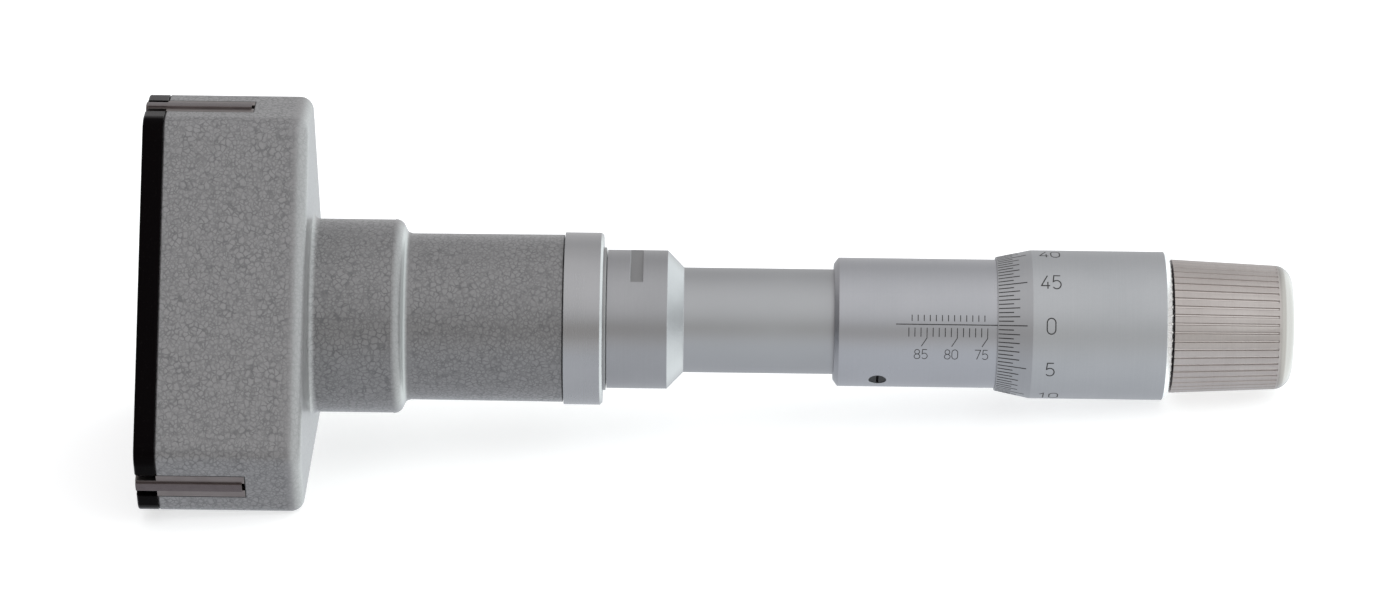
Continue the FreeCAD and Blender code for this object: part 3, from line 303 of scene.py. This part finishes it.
def slot_edge(made):
    """A thin near-black line round the three jaw slots, where the milled edge cuts the enamel: painted shade
    of the gaps beside the jaws.
    """
    across = made.node("SeparateXYZ", {"Vector": made.place}).outputs
    turn = made.maths("ARCTAN2", across["Y"], across["Z"])
    wrapped = {0: turn, 1: math.pi / 3, 2: -math.pi / 3}
    turn = made.node("Math", wrapped, operation="WRAP").outputs[0]
    beside = made.maths("ABSOLUTE", made.maths("MULTIPLY", made.from_axis(), made.maths("SINE", turn)))
    past_side = made.maths("SUBTRACT", beside, SLOT_W / 2 * MM)
    past_end = made.maths("SUBTRACT", made.station(), SLOT_END * MM)
    past = made.maths("MAXIMUM", past_side, past_end)
    return made.scaled(past, (SLOT_SHADE_LINE - 0.02) * MM, SLOT_SHADE_LINE * MM, 1.0, 0.0)


def gloss_black(name):
    """Smooth black enamel with a little dust and an uneven gloss."""
    made = Surface(name)
    dust = made.scaled(made.noise(made.place, 3400.0, 2.0, 0.6), 0.62, 0.74)
    clouds = made.noise(made.place, 110.0, 3.0, 0.55)
    made.shader.inputs["Specular Tint"].default_value = tone(1.0, 0.85, 0.86)
    facing = made.node("LayerWeight", {"Blend": 0.5}).outputs["Facing"]
    made.feed("Specular IOR Level", made.scaled(facing, 0.4, 0.8, 0.025, 0.3))
    made.feed("Base Color", made.mixed(
        made.maths("MULTIPLY", dust, 0.2), tone(0.0014, 0.001, 0.0012), tone(0.024, 0.02, 0.019)))
    made.feed("Roughness", made.scaled(clouds, 0.3, 0.7, 0.22, 0.32))
    made.bump(clouds, 0.02, 0.4, 0.35)
    return made


def oxide_black(name):
    """Blackened steel with the bare metal just showing through."""
    made = Surface(name, Metallic=0.85)
    wear = made.noise(made.place, 1500.0, 3.0, 0.6)
    made.feed("Base Color", made.mixed(
        made.scaled(wear, 0.5, 0.75, 0.0, 0.5), tone(0.018, 0.018, 0.019), tone(0.09, 0.088, 0.085)))
    made.feed("Roughness", made.scaled(wear, 0.3, 0.7, 0.3, 0.42))
    made.bump(wear, 0.006, 1.0, 0.1)
    return made


def fluted_knob(name):
    """Warm satin metal on the fluted part of the knob, with a polished crown behind it."""
    made = turned_metal(
        name, tone(0.49, 0.447, 0.43), tone(0.392, 0.349, 0.334), 0.34,
        ring_mm=0.2, relief=0.001, seed=0.4, edge=0.1)
    behind = made.scaled(made.station(), FLUTE_END * MM, (FLUTE_END + 0.5) * MM, smooth=True)
    surface = made.scaled(made.station(), KNOB_START * MM, KNOB_END * MM, KNOB_FRONT_R * MM, KNOB_REAR_R * MM)
    sunk = made.maths("SUBTRACT", surface, made.from_axis())
    floor = made.scaled(sunk, 0.17 * MM, 0.2 * MM)
    crown = made.scaled(made.station(), (CROWN_START - 0.15) * MM, (CROWN_START + 0.1) * MM)
    colour = made.fed("Base Color")
    rough = made.fed("Roughness")
    colour = made.mixed(floor, colour, tone(0.58, 0.53, 0.51))
    colour = made.mixed(behind, colour, tone(0.3, 0.275, 0.26))
    made.feed("Base Color", made.mixed(crown, colour, tone(0.4, 0.378, 0.365)))
    sheen = made.maths("MULTIPLY", behind, -0.14)
    made.feed("Roughness", made.maths("ADD", rough, sheen))
    return made


def thimble_finish(name):
    """Dull chrome of the thimble with a polished chamfer at its rear, coloured near white as a painted
    highlight.
    """
    made = turned_metal(
        name, tone(0.455, 0.455, 0.468), tone(0.412, 0.414, 0.428), 0.44, ring_mm=0.1, relief=0.001, seed=0.5)
    # The chamfer is polished and smoother, and its near-white colour is a painted highlight.
    polished_highlight = made.scaled(made.station(), CHAMFER_START * MM, (CHAMFER_START + 0.1) * MM)
    colour = made.fed("Base Color")
    rough = made.fed("Roughness")
    made.feed("Base Color", made.mixed(polished_highlight, colour, tone(0.78, 0.775, 0.785)))
    made.feed("Roughness", made.maths("ADD", rough, made.maths("MULTIPLY", polished_highlight, -0.2)))
    return made


def coupling_and_tube(name):
    """Satin steel of the coupling with painted shade on its flats, and the slim tube behind its cone a little
    brighter and duller.
    """
    made = turned_metal(
        name, tone(0.385, 0.382, 0.393), tone(0.343, 0.341, 0.351), 0.33,
        ring_mm=0.14, relief=0.0011, seed=0.1)
    station = made.station()
    behind = made.scaled(station, TUBE_START * MM, (TUBE_START + 0.2) * MM)
    colour = made.fed("Base Color")
    rough = made.fed("Roughness")
    clouds = made.noise(made.place, 90.0, 4.0, 0.55)
    tube = made.mixed(clouds, tone(0.42, 0.42, 0.43), tone(0.388, 0.388, 0.398))
    ahead = made.scaled(station, (TUBE_START - 3.2) * MM, (TUBE_START - 3) * MM, 1.0, 0.0)
    # Painted shade: the spanner flats sunk into the coupling are coloured darker than its round.
    flats_shade = made.scaled(made.from_axis(), (ROUND_R - 0.02) * MM, ROUND_R * MM, 1.0, 0.0)
    flats_shade = made.maths("MULTIPLY", flats_shade, ahead)
    colour = made.mixed(flats_shade, colour, tone(0.3, 0.297, 0.3))
    made.feed("Base Color", made.mixed(behind, colour, tube))
    made.feed("Roughness", made.maths("ADD", rough, made.maths("MULTIPLY", behind, 0.07)))
    return made


def seal_ring(name):
    """Bright front of the ring behind the collar, and its rear edge painted near black as painted shade of
    the gap before the coupling.
    """
    made = turned_metal(
        name, tone(0.4, 0.398, 0.4), tone(0.32, 0.318, 0.32), 0.34, ring_mm=0.1, relief=0.001, seed=0.6)
    station = made.station()
    # Painted shade: the rear edge is near black for the shaded gap between this ring and the coupling.
    behind = made.scaled(station, (SEAL_END - 0.22) * MM, (SEAL_END - 0.12) * MM)
    colour = made.fed("Base Color")
    made.feed("Base Color", made.mixed(behind, colour, tone(0.02, 0.02, 0.021)))
    return made


def ink(name):
    """Dark filling of the engraved lines and numbers, slightly uneven."""
    made = Surface(name, Roughness=0.6)
    wear = made.noise(made.place, 4200.0, 2.0, 0.6)
    made.feed("Base Color", made.mixed(
        made.scaled(wear, 0.45, 0.8), tone(0.016, 0.014, 0.014), tone(0.07, 0.066, 0.066)))
    return made


# The function that makes each finish, called with the finish's name
SURFACES = {
    "head_paint": hammered_paint,
    "slope_paint": slope_paint,
    "cap_black": gloss_black,
    "black_steel": oxide_black,
    "bronze": lambda name: turned_metal(
        name, tone(0.62, 0.42, 0.2), tone(0.5, 0.32, 0.15), 0.32, ring_mm=0.15),
    "spring_steel": lambda name: ground_metal(name, tone(0.5, 0.5, 0.51), tone(0.38, 0.38, 0.39), 0.3),
    "tube_steel": coupling_and_tube,
    "dark_ring": seal_ring,
    "satin_chrome": lambda name: turned_metal(
        name, tone(0.45, 0.45, 0.471), tone(0.407, 0.409, 0.43), 0.31, ring_mm=0.1, relief=0.0011, seed=0.2),
    "collar_steel": lambda name: turned_metal(
        name, tone(0.43, 0.428, 0.435), tone(0.384, 0.382, 0.39), 0.26, ring_mm=0.1, relief=0.001, seed=0.3),
    "thimble_chrome": thimble_finish,
    "inner_steel": lambda name: turned_metal(
        name, tone(0.55, 0.55, 0.56), tone(0.46, 0.46, 0.47), 0.28, ring_mm=0.18),
    "hard_steel": lambda name: turned_metal(
        name, tone(0.62, 0.62, 0.63), tone(0.54, 0.54, 0.55), 0.16, ring_mm=0.06),
    "knob_metal": fluted_knob,
    "jaw_steel": lambda name: ground_metal(name, tone(0.255, 0.226, 0.218), tone(0.19, 0.163, 0.158), 0.32),
    "carbide": hard_strip,
}
# Nodes whose finish differs a little from the others of their slot
OWN_FINISH = {"collar": "collar_steel", "thimble": "thimble_chrome"}


def dress_nodes():
    """Gives every node of the model the finish of its material slot."""
    slots = {part["node"]: part["material_slot"] for part in frame["record"]["subparts"]}
    for node, piece in frame["nodes"].items():
        for place in piece.material_slots:
            place.material = FINISH[OWN_FINISH.get(node, slots[node])]


# Engraved scales. A stroke's points are a station along X and a turn in degrees, which is zero on
# the side that faces the camera and grows downwards.
BARREL_R = 10.7
THIMBLE_R = 12.34
THIMBLE_EDGE = 140.6
THIMBLE_EDGE_R = 11.1
BEVEL_END = 146.35
INK_RISE = 0.012
INK_DEPTH = 0.03
STEP = 0.3


def barrel_radius(station):
    return BARREL_R


def thimble_radius(station):
    share = min(max((station - THIMBLE_EDGE) / (BEVEL_END - THIMBLE_EDGE), 0.0), 1.0)
    return THIMBLE_EDGE_R + (THIMBLE_R - THIMBLE_EDGE_R) * share


def on_surface(station, turn, radius):
    angle = ELEVATION - math.radians(turn)
    return Vector((station, -radius * math.cos(angle), radius * math.sin(angle))) * MM


def divided(points):
    """The same stroke with no step longer than STEP, so that it follows the round surface."""
    path = [points[0]]
    for start, end in zip(points, points[1:]):
        count = max(1, math.ceil((end - start).length / STEP))
        path.extend(start.lerp(end, i / count) for i in range(1, count + 1))
    return path


def stroke_sides(path, width, closed):
    """Left and right edge of a stroke in the unrolled surface."""
    left, right = [], []
    count = len(path)
    for i, point in enumerate(path):
        before = path[i - 1] if closed or i > 0 else None
        after = path[(i + 1) % count] if closed or i < count - 1 else None
        ways = [(b - a).normalized() for a, b in ((before, point), (point, after)) if a and b]
        normals = [Vector((-way.y, way.x)) for way in ways]
        middle = sum(normals, Vector((0, 0))).normalized()
        reach = width / 2 / max(middle.dot(normals[0]), 0.5)
        left.append(point + middle * reach)
        right.append(point - middle * reach)
    return left, right


class Engraving:
    """Collects strokes on a turned surface as one closed mesh of thin ribbons."""

    def __init__(self, radius_at):
        self.radius_at = radius_at
        self.corners = []
        self.faces = []

    def stroke(self, points, width, closed=False):
        """Points are stations and turns; the stroke is drawn with this width in millimetres."""
        scale = math.radians(1) * self.radius_at(points[0][0])
        flat = [Vector((station, turn * scale)) for station, turn in points]
        path = divided(flat + flat[:1]) if closed else divided(flat)
        if closed:
            path = path[:-1]
        left, right = stroke_sides(path, width, closed)
        first = len(self.corners)
        for a, b in zip(left, right):
            for point, lift in ((a, INK_RISE), (b, INK_RISE), (b, -INK_DEPTH), (a, -INK_DEPTH)):
                radius = self.radius_at(point.x) + lift
                self.corners.append(on_surface(point.x, point.y / scale, radius))
        count = len(path)
        for i in range(count if closed else count - 1):
            here = first + 4 * i
            there = first + 4 * ((i + 1) % count)
            for k in range(4):
                n = (k + 1) % 4
                self.faces.append((here + k, here + n, there + n, there + k))
        if not closed:
            last = first + 4 * (count - 1)
            self.faces.append((first + 3, first + 2, first + 1, first))
            self.faces.append((last, last + 1, last + 2, last + 3))

    def number(self, text, station, turn, height, width, gap, line):
        """Writes a number centred on a station and a turn, with its top towards smaller turns."""
        scale = math.radians(1) * self.radius_at(station)
        start = station - (len(text) * width + (len(text) - 1) * gap) / 2
        for place, digit in enumerate(text):
            for points, closed in DIGITS[digit]:
                drawn = [
                    (start + place * (width + gap) + across * width, turn + (0.5 - up) * height / scale)
                    for across, up in points
                ]
                self.stroke(drawn, line, closed)

    def piece(self, name, body):
        """Makes the strokes into one piece that rides on a body."""
        made = new_piece(name, self.corners, self.faces, INK)
        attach(made, body)


def arc(across, up, half_width, half_height, start, end, steps=10):
    """Points of an elliptical arc in a digit's unit cell, from start to end in degrees."""
    angles = [math.radians(start + (end - start) * i / steps) for i in range(steps + 1)]
    return [(across + half_width * math.cos(a), up + half_height * math.sin(a)) for a in angles]


# Plain engraved digits in a cell one wide and one high: strokes and whether each is closed
DIGITS = {
    "0": [(arc(0.5, 0.72, 0.5, 0.28, 0, 180) + arc(0.5, 0.28, 0.5, 0.28, 180, 360), True)],
    "1": [([(0.16, 0.8), (0.6, 1.0), (0.6, 0.0)], False)],
    "2": [(arc(0.5, 0.73, 0.47, 0.27, 165, -25) + [(0.03, 0.0), (1.0, 0.0)], False)],
    "3": [
        (arc(0.48, 0.76, 0.43, 0.24, 150, -80), False),
        (arc(0.48, 0.27, 0.5, 0.27, 85, -150), False),
    ],
    "4": [
        ([(0.72, 1.0), (0.0, 0.22), (1.0, 0.22)], False),
        ([(0.74, 0.5), (0.74, 0.0)], False),
    ],
    "5": [([(0.9, 1.0), (0.16, 1.0), (0.08, 0.53)] + arc(0.48, 0.31, 0.5, 0.31, 125, -145, 14), False)],
    "7": [([(0.0, 1.0), (1.0, 1.0), (0.36, 0.0)], False)],
    "8": [
        (arc(0.5, 0.76, 0.42, 0.24, -90, 270, 18)[:-1], True),
        (arc(0.5, 0.26, 0.5, 0.26, 90, 450, 18)[:-1], True),
    ],
}

# The barrel's scale: values in millimetres of bore, the station of its first value, and the turns at
# which its ticks start and end on either side of the index line
INDEX_TURN = 1.2
INDEX_START = 123.8
INDEX_END = 141.5
INDEX_LINE = 0.17
SCALE_START = 75
SCALE_END = 88
SCALE_STATION = 138.95
TICK_LINE = 0.15
BELOW = 4.1
BELOW_END = 12.2
FIVE_END = 13.2
FIVE_LEAN = 0.9
FIVE_FOOT = 21.0
FIVE_LINE = 0.14
ABOVE = -1.7
ABOVE_END = -7.3
NUMBER_TURN = 28.8
NUMBER_BACK = 0.95
BARREL_DIGIT = {"height": 1.75, "width": 0.95, "gap": 0.28, "line": 0.13}


def make_barrel_scale():
    """Millimetre ticks below the index line, half-millimetre ticks above it, and three numbers."""
    scale = Engraving(barrel_radius)
    numbers = Engraving(barrel_radius)
    scale.stroke([(INDEX_START, INDEX_TURN), (INDEX_END, INDEX_TURN)], INDEX_LINE)
    for value in range(SCALE_START, SCALE_END + 1):
        station = SCALE_STATION - (value - SCALE_START)
        if value % 5 == 0:
            scale.stroke([(station, BELOW), (station, FIVE_END), (station - FIVE_LEAN, FIVE_FOOT)], FIVE_LINE)
            numbers.number(str(value), station - NUMBER_BACK, NUMBER_TURN, **BARREL_DIGIT)
        else:
            scale.stroke([(station, BELOW), (station, BELOW_END)], TICK_LINE)
        if value < SCALE_END:
            scale.stroke([(station - 0.5, ABOVE_END), (station - 0.5, ABOVE)], TICK_LINE)
    scale.piece("barrel_scale", "frame_unit")
    numbers.piece("barrel_numbers", "frame_unit")


# The thimble's scale: how many ticks go round, the stations where they start and end, and its numbers
TICKS = 100
TICK_START = THIMBLE_EDGE + 0.12
LONG_TICK = 145.4
UNIT_TICK = 144.2
SHORT_TICK = 143.2
THIMBLE_LINE = 0.17
NUMBER_STATION = 149.35
THIMBLE_DIGIT = {"height": 2.63, "width": 1.42, "gap": 0.42, "line": 0.2}


def make_thimble_scale():
    """A hundred ticks on the bevel; every tenth is long and has its number behind it."""
    scale = Engraving(thimble_radius)
    numbers = Engraving(thimble_radius)
    for tick in range(TICKS):
        turn = INDEX_TURN + tick * 360 / TICKS
        end = LONG_TICK if tick % 10 == 0 else UNIT_TICK if tick % 2 == 0 else SHORT_TICK
        scale.stroke([(TICK_START, turn), (end, turn)], THIMBLE_LINE)
        if tick % 10 == 0:
            numbers.number(str(tick // 2), NUMBER_STATION, turn, **THIMBLE_DIGIT)
    scale.piece("thimble_scale", "thimble_unit")
    numbers.piece("thimble_numbers", "thimble_unit")


# Springs of round wire with closed ends, in place of the model's square ones: mean radius, wire and turns
WIRE_SIDES = 10
TURN_STEPS = 24
CONE_COIL = {"mean_r": 5.4, "wire": 0.8, "turns": 9}
RATCHET_COIL = {"mean_r": 4.3, "wire": 0.8, "turns": 5}
JAW_COIL = {"mean_r": 1.5, "wire": 0.4, "turns": 9}
# Where the cone's spring starts, where a jaw's spring stands, and how far each shortens
CONE_SPRING_START = 52
CONE_SPRING_LEN = 27.0
JAW_SPRING_STATION = 21.14
JAW_SPRING_FOOT = 14.5
JAW_SPRING_ROOF = 30.5


def coil_mesh(name, mean_r, wire, length, turns, place):
    """A round-wire coil from the origin along Z, put in place; sizes in millimetres."""
    end_rise = wire * 1.2
    open_rise = (length - wire * 1.5 - end_rise * 2) / (turns - 2)
    height = wire * 0.75
    corners = []
    faces = []
    steps = turns * TURN_STEPS
    for i in range(steps + 1):
        closed = i < TURN_STEPS or i >= steps - TURN_STEPS
        angle = 2 * math.pi * i / TURN_STEPS
        outward = Vector((math.cos(angle), math.sin(angle), 0))
        for k in range(WIRE_SIDES):
            round_wire = 2 * math.pi * k / WIRE_SIDES
            offset = outward * math.cos(round_wire) + Vector((0, 0, math.sin(round_wire)))
            centre = outward * mean_r + Vector((0, 0, height))
            corners.append(place @ ((centre + offset * wire / 2) * MM))
        height += (end_rise if closed else open_rise) / TURN_STEPS
    for i in range(steps):
        for k in range(WIRE_SIDES):
            n = (k + 1) % WIRE_SIDES
            a, b = i * WIRE_SIDES, (i + 1) * WIRE_SIDES
            faces.append((a + k, b + k, b + n, a + n))
    faces.append(tuple(range(WIRE_SIDES)))
    faces.append(tuple(steps * WIRE_SIDES + k for k in reversed(range(WIRE_SIDES))))
    made = new_piece(name, corners, faces, FINISH["spring_steel"])
    for face in made.data.polygons:
        face.use_smooth = True
    return made


def spring_frame(base, direction):
    """Places a coil's foot at the base in millimetres, with the coil along the direction."""
    turn = Vector((0, 0, 1)).rotation_difference(Vector(direction))
    return Matrix.Translation(Vector(base) * MM) @ turn.to_matrix().to_4x4()


def make_springs():
    place = spring_frame((CONE_SPRING_START, 0, 0), (1, 0, 0))
    cone = coil_mesh("cone_spring_wire", length=CONE_SPRING_LEN, place=place, **CONE_COIL)
    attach(cone, "frame_unit")
    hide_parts("cone_spring")
    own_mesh(cone)
    low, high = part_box("ratchet_spring")
    place = spring_frame((low.x / MM, 0, 0), (1, 0, 0))
    length = (high.x - low.x) / MM
    ratchet = coil_mesh("ratchet_spring_wire", length=length, place=place, **RATCHET_COIL)
    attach(ratchet, "ratchet_unit")
    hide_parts("ratchet_spring")
    length = JAW_SPRING_ROOF - JAW_SPRING_FOOT
    for jaw in (1, 2, 3):
        angle = math.radians(120 * (jaw - 1))
        out = Vector((0, -math.sin(angle), math.cos(angle)))
        foot = Vector((JAW_SPRING_STATION, 0, 0)) + out * JAW_SPRING_FOOT
        place = spring_frame(foot, out)
        spring = coil_mesh("jaw_spring_wire_%d" % jaw, length=length, place=place, **JAW_COIL)
        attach(spring, "frame_unit")
        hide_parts("jaw_spring_%d" % jaw)
        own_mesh(spring)


# The soft slope from the head's neck down to the painted sleeve
NECK_R = 16.17
NECK_EDGE_R = 1.7
NECK_EDGE_START = 40.7
SLEEVE_R = 13.93
SLOPE = math.radians(65)
SLOPE_FOOT_R = 0.9
SLOPE_SINK = 0.3
RING_SIDES = 128


def slope_profile(steps=6):
    """Stations and radii of the slope: rounded off the neck, straight, and hollow into the sleeve."""
    top = (NECK_EDGE_START, NECK_R - NECK_EDGE_R)
    fall = top[1] + NECK_EDGE_R * math.cos(SLOPE) - SLEEVE_R
    foot = top[0] + NECK_EDGE_R * math.sin(SLOPE) + fall / math.tan(SLOPE)
    foot += SLOPE_FOOT_R * math.tan(SLOPE / 2)
    turns = [SLOPE * i / steps for i in range(steps + 1)]
    edge = [(top[0] + NECK_EDGE_R * math.sin(t), top[1] + NECK_EDGE_R * math.cos(t)) for t in turns]
    hollow = [
        (foot - SLOPE_FOOT_R * math.sin(t), SLEEVE_R + SLOPE_FOOT_R * (1 - math.cos(t)))
        for t in reversed(turns)
    ]
    return edge + hollow


def make_neck_slope():
    """A painted ring that fills the corner between the neck's rear wall and the sleeve."""
    profile = slope_profile()
    faces_seen = len(profile) - 1
    inside = SLEEVE_R - SLOPE_SINK
    profile += [(profile[-1][0], inside), (profile[0][0], inside)]
    corners = []
    faces = []
    count = len(profile)
    for i in range(RING_SIDES):
        angle = 2 * math.pi * i / RING_SIDES
        for station, radius in profile:
            corners.append(Vector((station, radius * math.cos(angle), radius * math.sin(angle))) * MM)
        here, there = i * count, (i + 1) % RING_SIDES * count
        for k in range(count):
            n = (k + 1) % count
            faces.append((here + k, here + n, there + n, there + k))
    slope = new_piece("neck_slope", corners, faces, FINISH["slope_paint"])
    for face in slope.data.polygons:
        face.use_smooth = face.index % count < faces_seen
    slope.data.set_sharp_from_angle(angle=math.radians(40))
    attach(slope, "frame_unit")


# The object rests on the rear of its head and on the rear edge of its thimble
FLOOR_ANGLE = math.radians(4.56)
FLOOR_STATION = 26.4
FLOOR_HEIGHT = -24.31
FLOOR_CORNERS = ((-700, -800), (900, -800), (900, 900), (-700, 900))
FLOOR_GLOW = 0.62
FLOOR_TONE = 0.6


def make_floor():
    corners = []
    for station, across in FLOOR_CORNERS:
        height = FLOOR_HEIGHT + (station - FLOOR_STATION) * math.tan(FLOOR_ANGLE)
        corners.append(Vector((station, across, height)) * MM)
    material = bpy.data.materials.new("floor")
    material.use_nodes = True
    shading = Shading(material.node_tree)
    rays = shading.node("LightPath").outputs
    seen = shading.maths("MAXIMUM", rays["Is Camera Ray"], rays["Is Transmission Ray"])
    strength = shading.maths("MULTIPLY", seen, FLOOR_GLOW)
    glow = shading.node("Emission", {"Color": tone(1, 1, 1), "Strength": strength})
    matt = shading.node("BsdfDiffuse", {"Color": tone(FLOOR_TONE, FLOOR_TONE, FLOOR_TONE)})
    lit = shading.node("AddShader", {0: glow.outputs[0], 1: matt.outputs[0]})
    clear = shading.node("BsdfTransparent")
    unseen = shading.maths("MAXIMUM", rays["Is Glossy Ray"], rays["Is Diffuse Ray"])
    shown = shading.node("MixShader", {0: unseen, 1: lit.outputs[0], 2: clear.outputs[0]})
    shading.node("OutputMaterial", {"Surface": shown.outputs[0]})
    new_piece("floor", corners, [(0, 1, 2, 3)], material)


# Tints of the studio's light
NEUTRAL = (1.0, 1.0, 1.012)
WARM = (1.015, 0.985, 0.96)
COOL = (0.96, 1.0, 1.06)
# Brightness and tint of the studio by the turn round X in degrees, and its bright end behind the knob
STUDIO = (
    (-180, 0.70, NEUTRAL), (-150, 0.78, COOL), (-120, 0.79, COOL), (-75, 0.81, COOL), (-33, 0.83, COOL),
    (-14, 0.74, NEUTRAL), (-4, 0.53, WARM), (9, 0.50, WARM), (21, 0.72, NEUTRAL), (33, 0.88, NEUTRAL),
    (55, 0.95, NEUTRAL), (75, 0.95, NEUTRAL), (95, 0.88, NEUTRAL), (118, 0.74, NEUTRAL),
    (137, 0.64, NEUTRAL), (160, 0.70, NEUTRAL), (180, 0.70, NEUTRAL),
)
NOSE_SHARE = 0.82
KNOB_END_LIGHT = (1.75, 1.88, 1.88, 1.0)


def make_world():
    """White for the camera; around the object a soft studio, darker at the front's horizon and high behind.

    The studio's brightness goes by the turn round X, from the front's horizon over the zenith.
    """
    world = bpy.data.worlds.new("studio")
    bpy.context.scene.world = world
    world.use_nodes = True
    shading = Shading(world.node_tree)
    way = shading.node("SeparateXYZ", {"Vector": shading.node("TexCoord").outputs["Generated"]}).outputs
    front = shading.maths("MULTIPLY", way["Y"], -1.0)
    turn = shading.maths("ARCTAN2", way["Z"], front)
    ramp = shading.node("ValToRGB", {"Fac": shading.scaled(turn, -math.pi, math.pi)})
    ramp.color_ramp.interpolation = "EASE"
    elements = ramp.color_ramp.elements
    while len(elements) < len(STUDIO):
        elements.new(0.5)
    for element, (turned, level, tint) in zip(elements, STUDIO):
        element.position = (turned + 180) / 360
        element.color = tone(*(level * share for share in tint))
    ahead = shading.scaled(way["X"], -0.45, -0.05, NOSE_SHARE, 1.0, smooth=True)
    dimmed = {0: ramp.outputs["Color"], "Scale": ahead}
    around = shading.node("VectorMath", dimmed, operation="SCALE").outputs[0]
    behind = shading.scaled(way["X"], 0.06, 0.62, smooth=True)
    around = shading.mixed(behind, around, KNOB_END_LIGHT)
    rays = shading.node("LightPath").outputs
    colour = shading.mixed(rays["Is Camera Ray"], around, tone(1, 1, 1))
    background = shading.node("Background", {"Color": colour, "Strength": 1.0})
    shading.node("OutputWorld", {"Surface": background.outputs[0]})


# Lamps: name, place, sides in metres and power in watts
LAMPS = (
    ("soft_top", (0.1, -0.35, 0.85), (1.0, 0.6), 0.5),
    ("soft_end", (0.95, -0.25, 0.2), (0.5, 0.5), 1.15),
)
LAMP_TARGET = (0.09, 0, 0)


def make_lamp(name, place, size, power):
    """A soft lamp that shiny surfaces don't mirror, because the world around them is bright already."""
    data = bpy.data.lights.new(name, "AREA")
    data.shape = "RECTANGLE"
    data.size, data.size_y = size
    data.energy = power
    lamp = bpy.data.objects.new(name, data)
    bpy.context.scene.collection.objects.link(lamp)
    lamp.location = place
    lamp.visible_glossy = False
    lamp.rotation_euler = (Vector(LAMP_TARGET) - Vector(place)).to_track_quat("-Z", "Y").to_euler()


FINISH = {name: make(name).material for name, make in SURFACES.items()}
INK = ink("engraving_ink").material

dress_nodes()
make_barrel_scale()
make_thimble_scale()
make_springs()
make_neck_slope()
make_camera()
make_floor()
make_world()
for lamp in LAMPS:
    make_lamp(*lamp)
bpy.context.scene.view_settings.view_transform = "Standard"
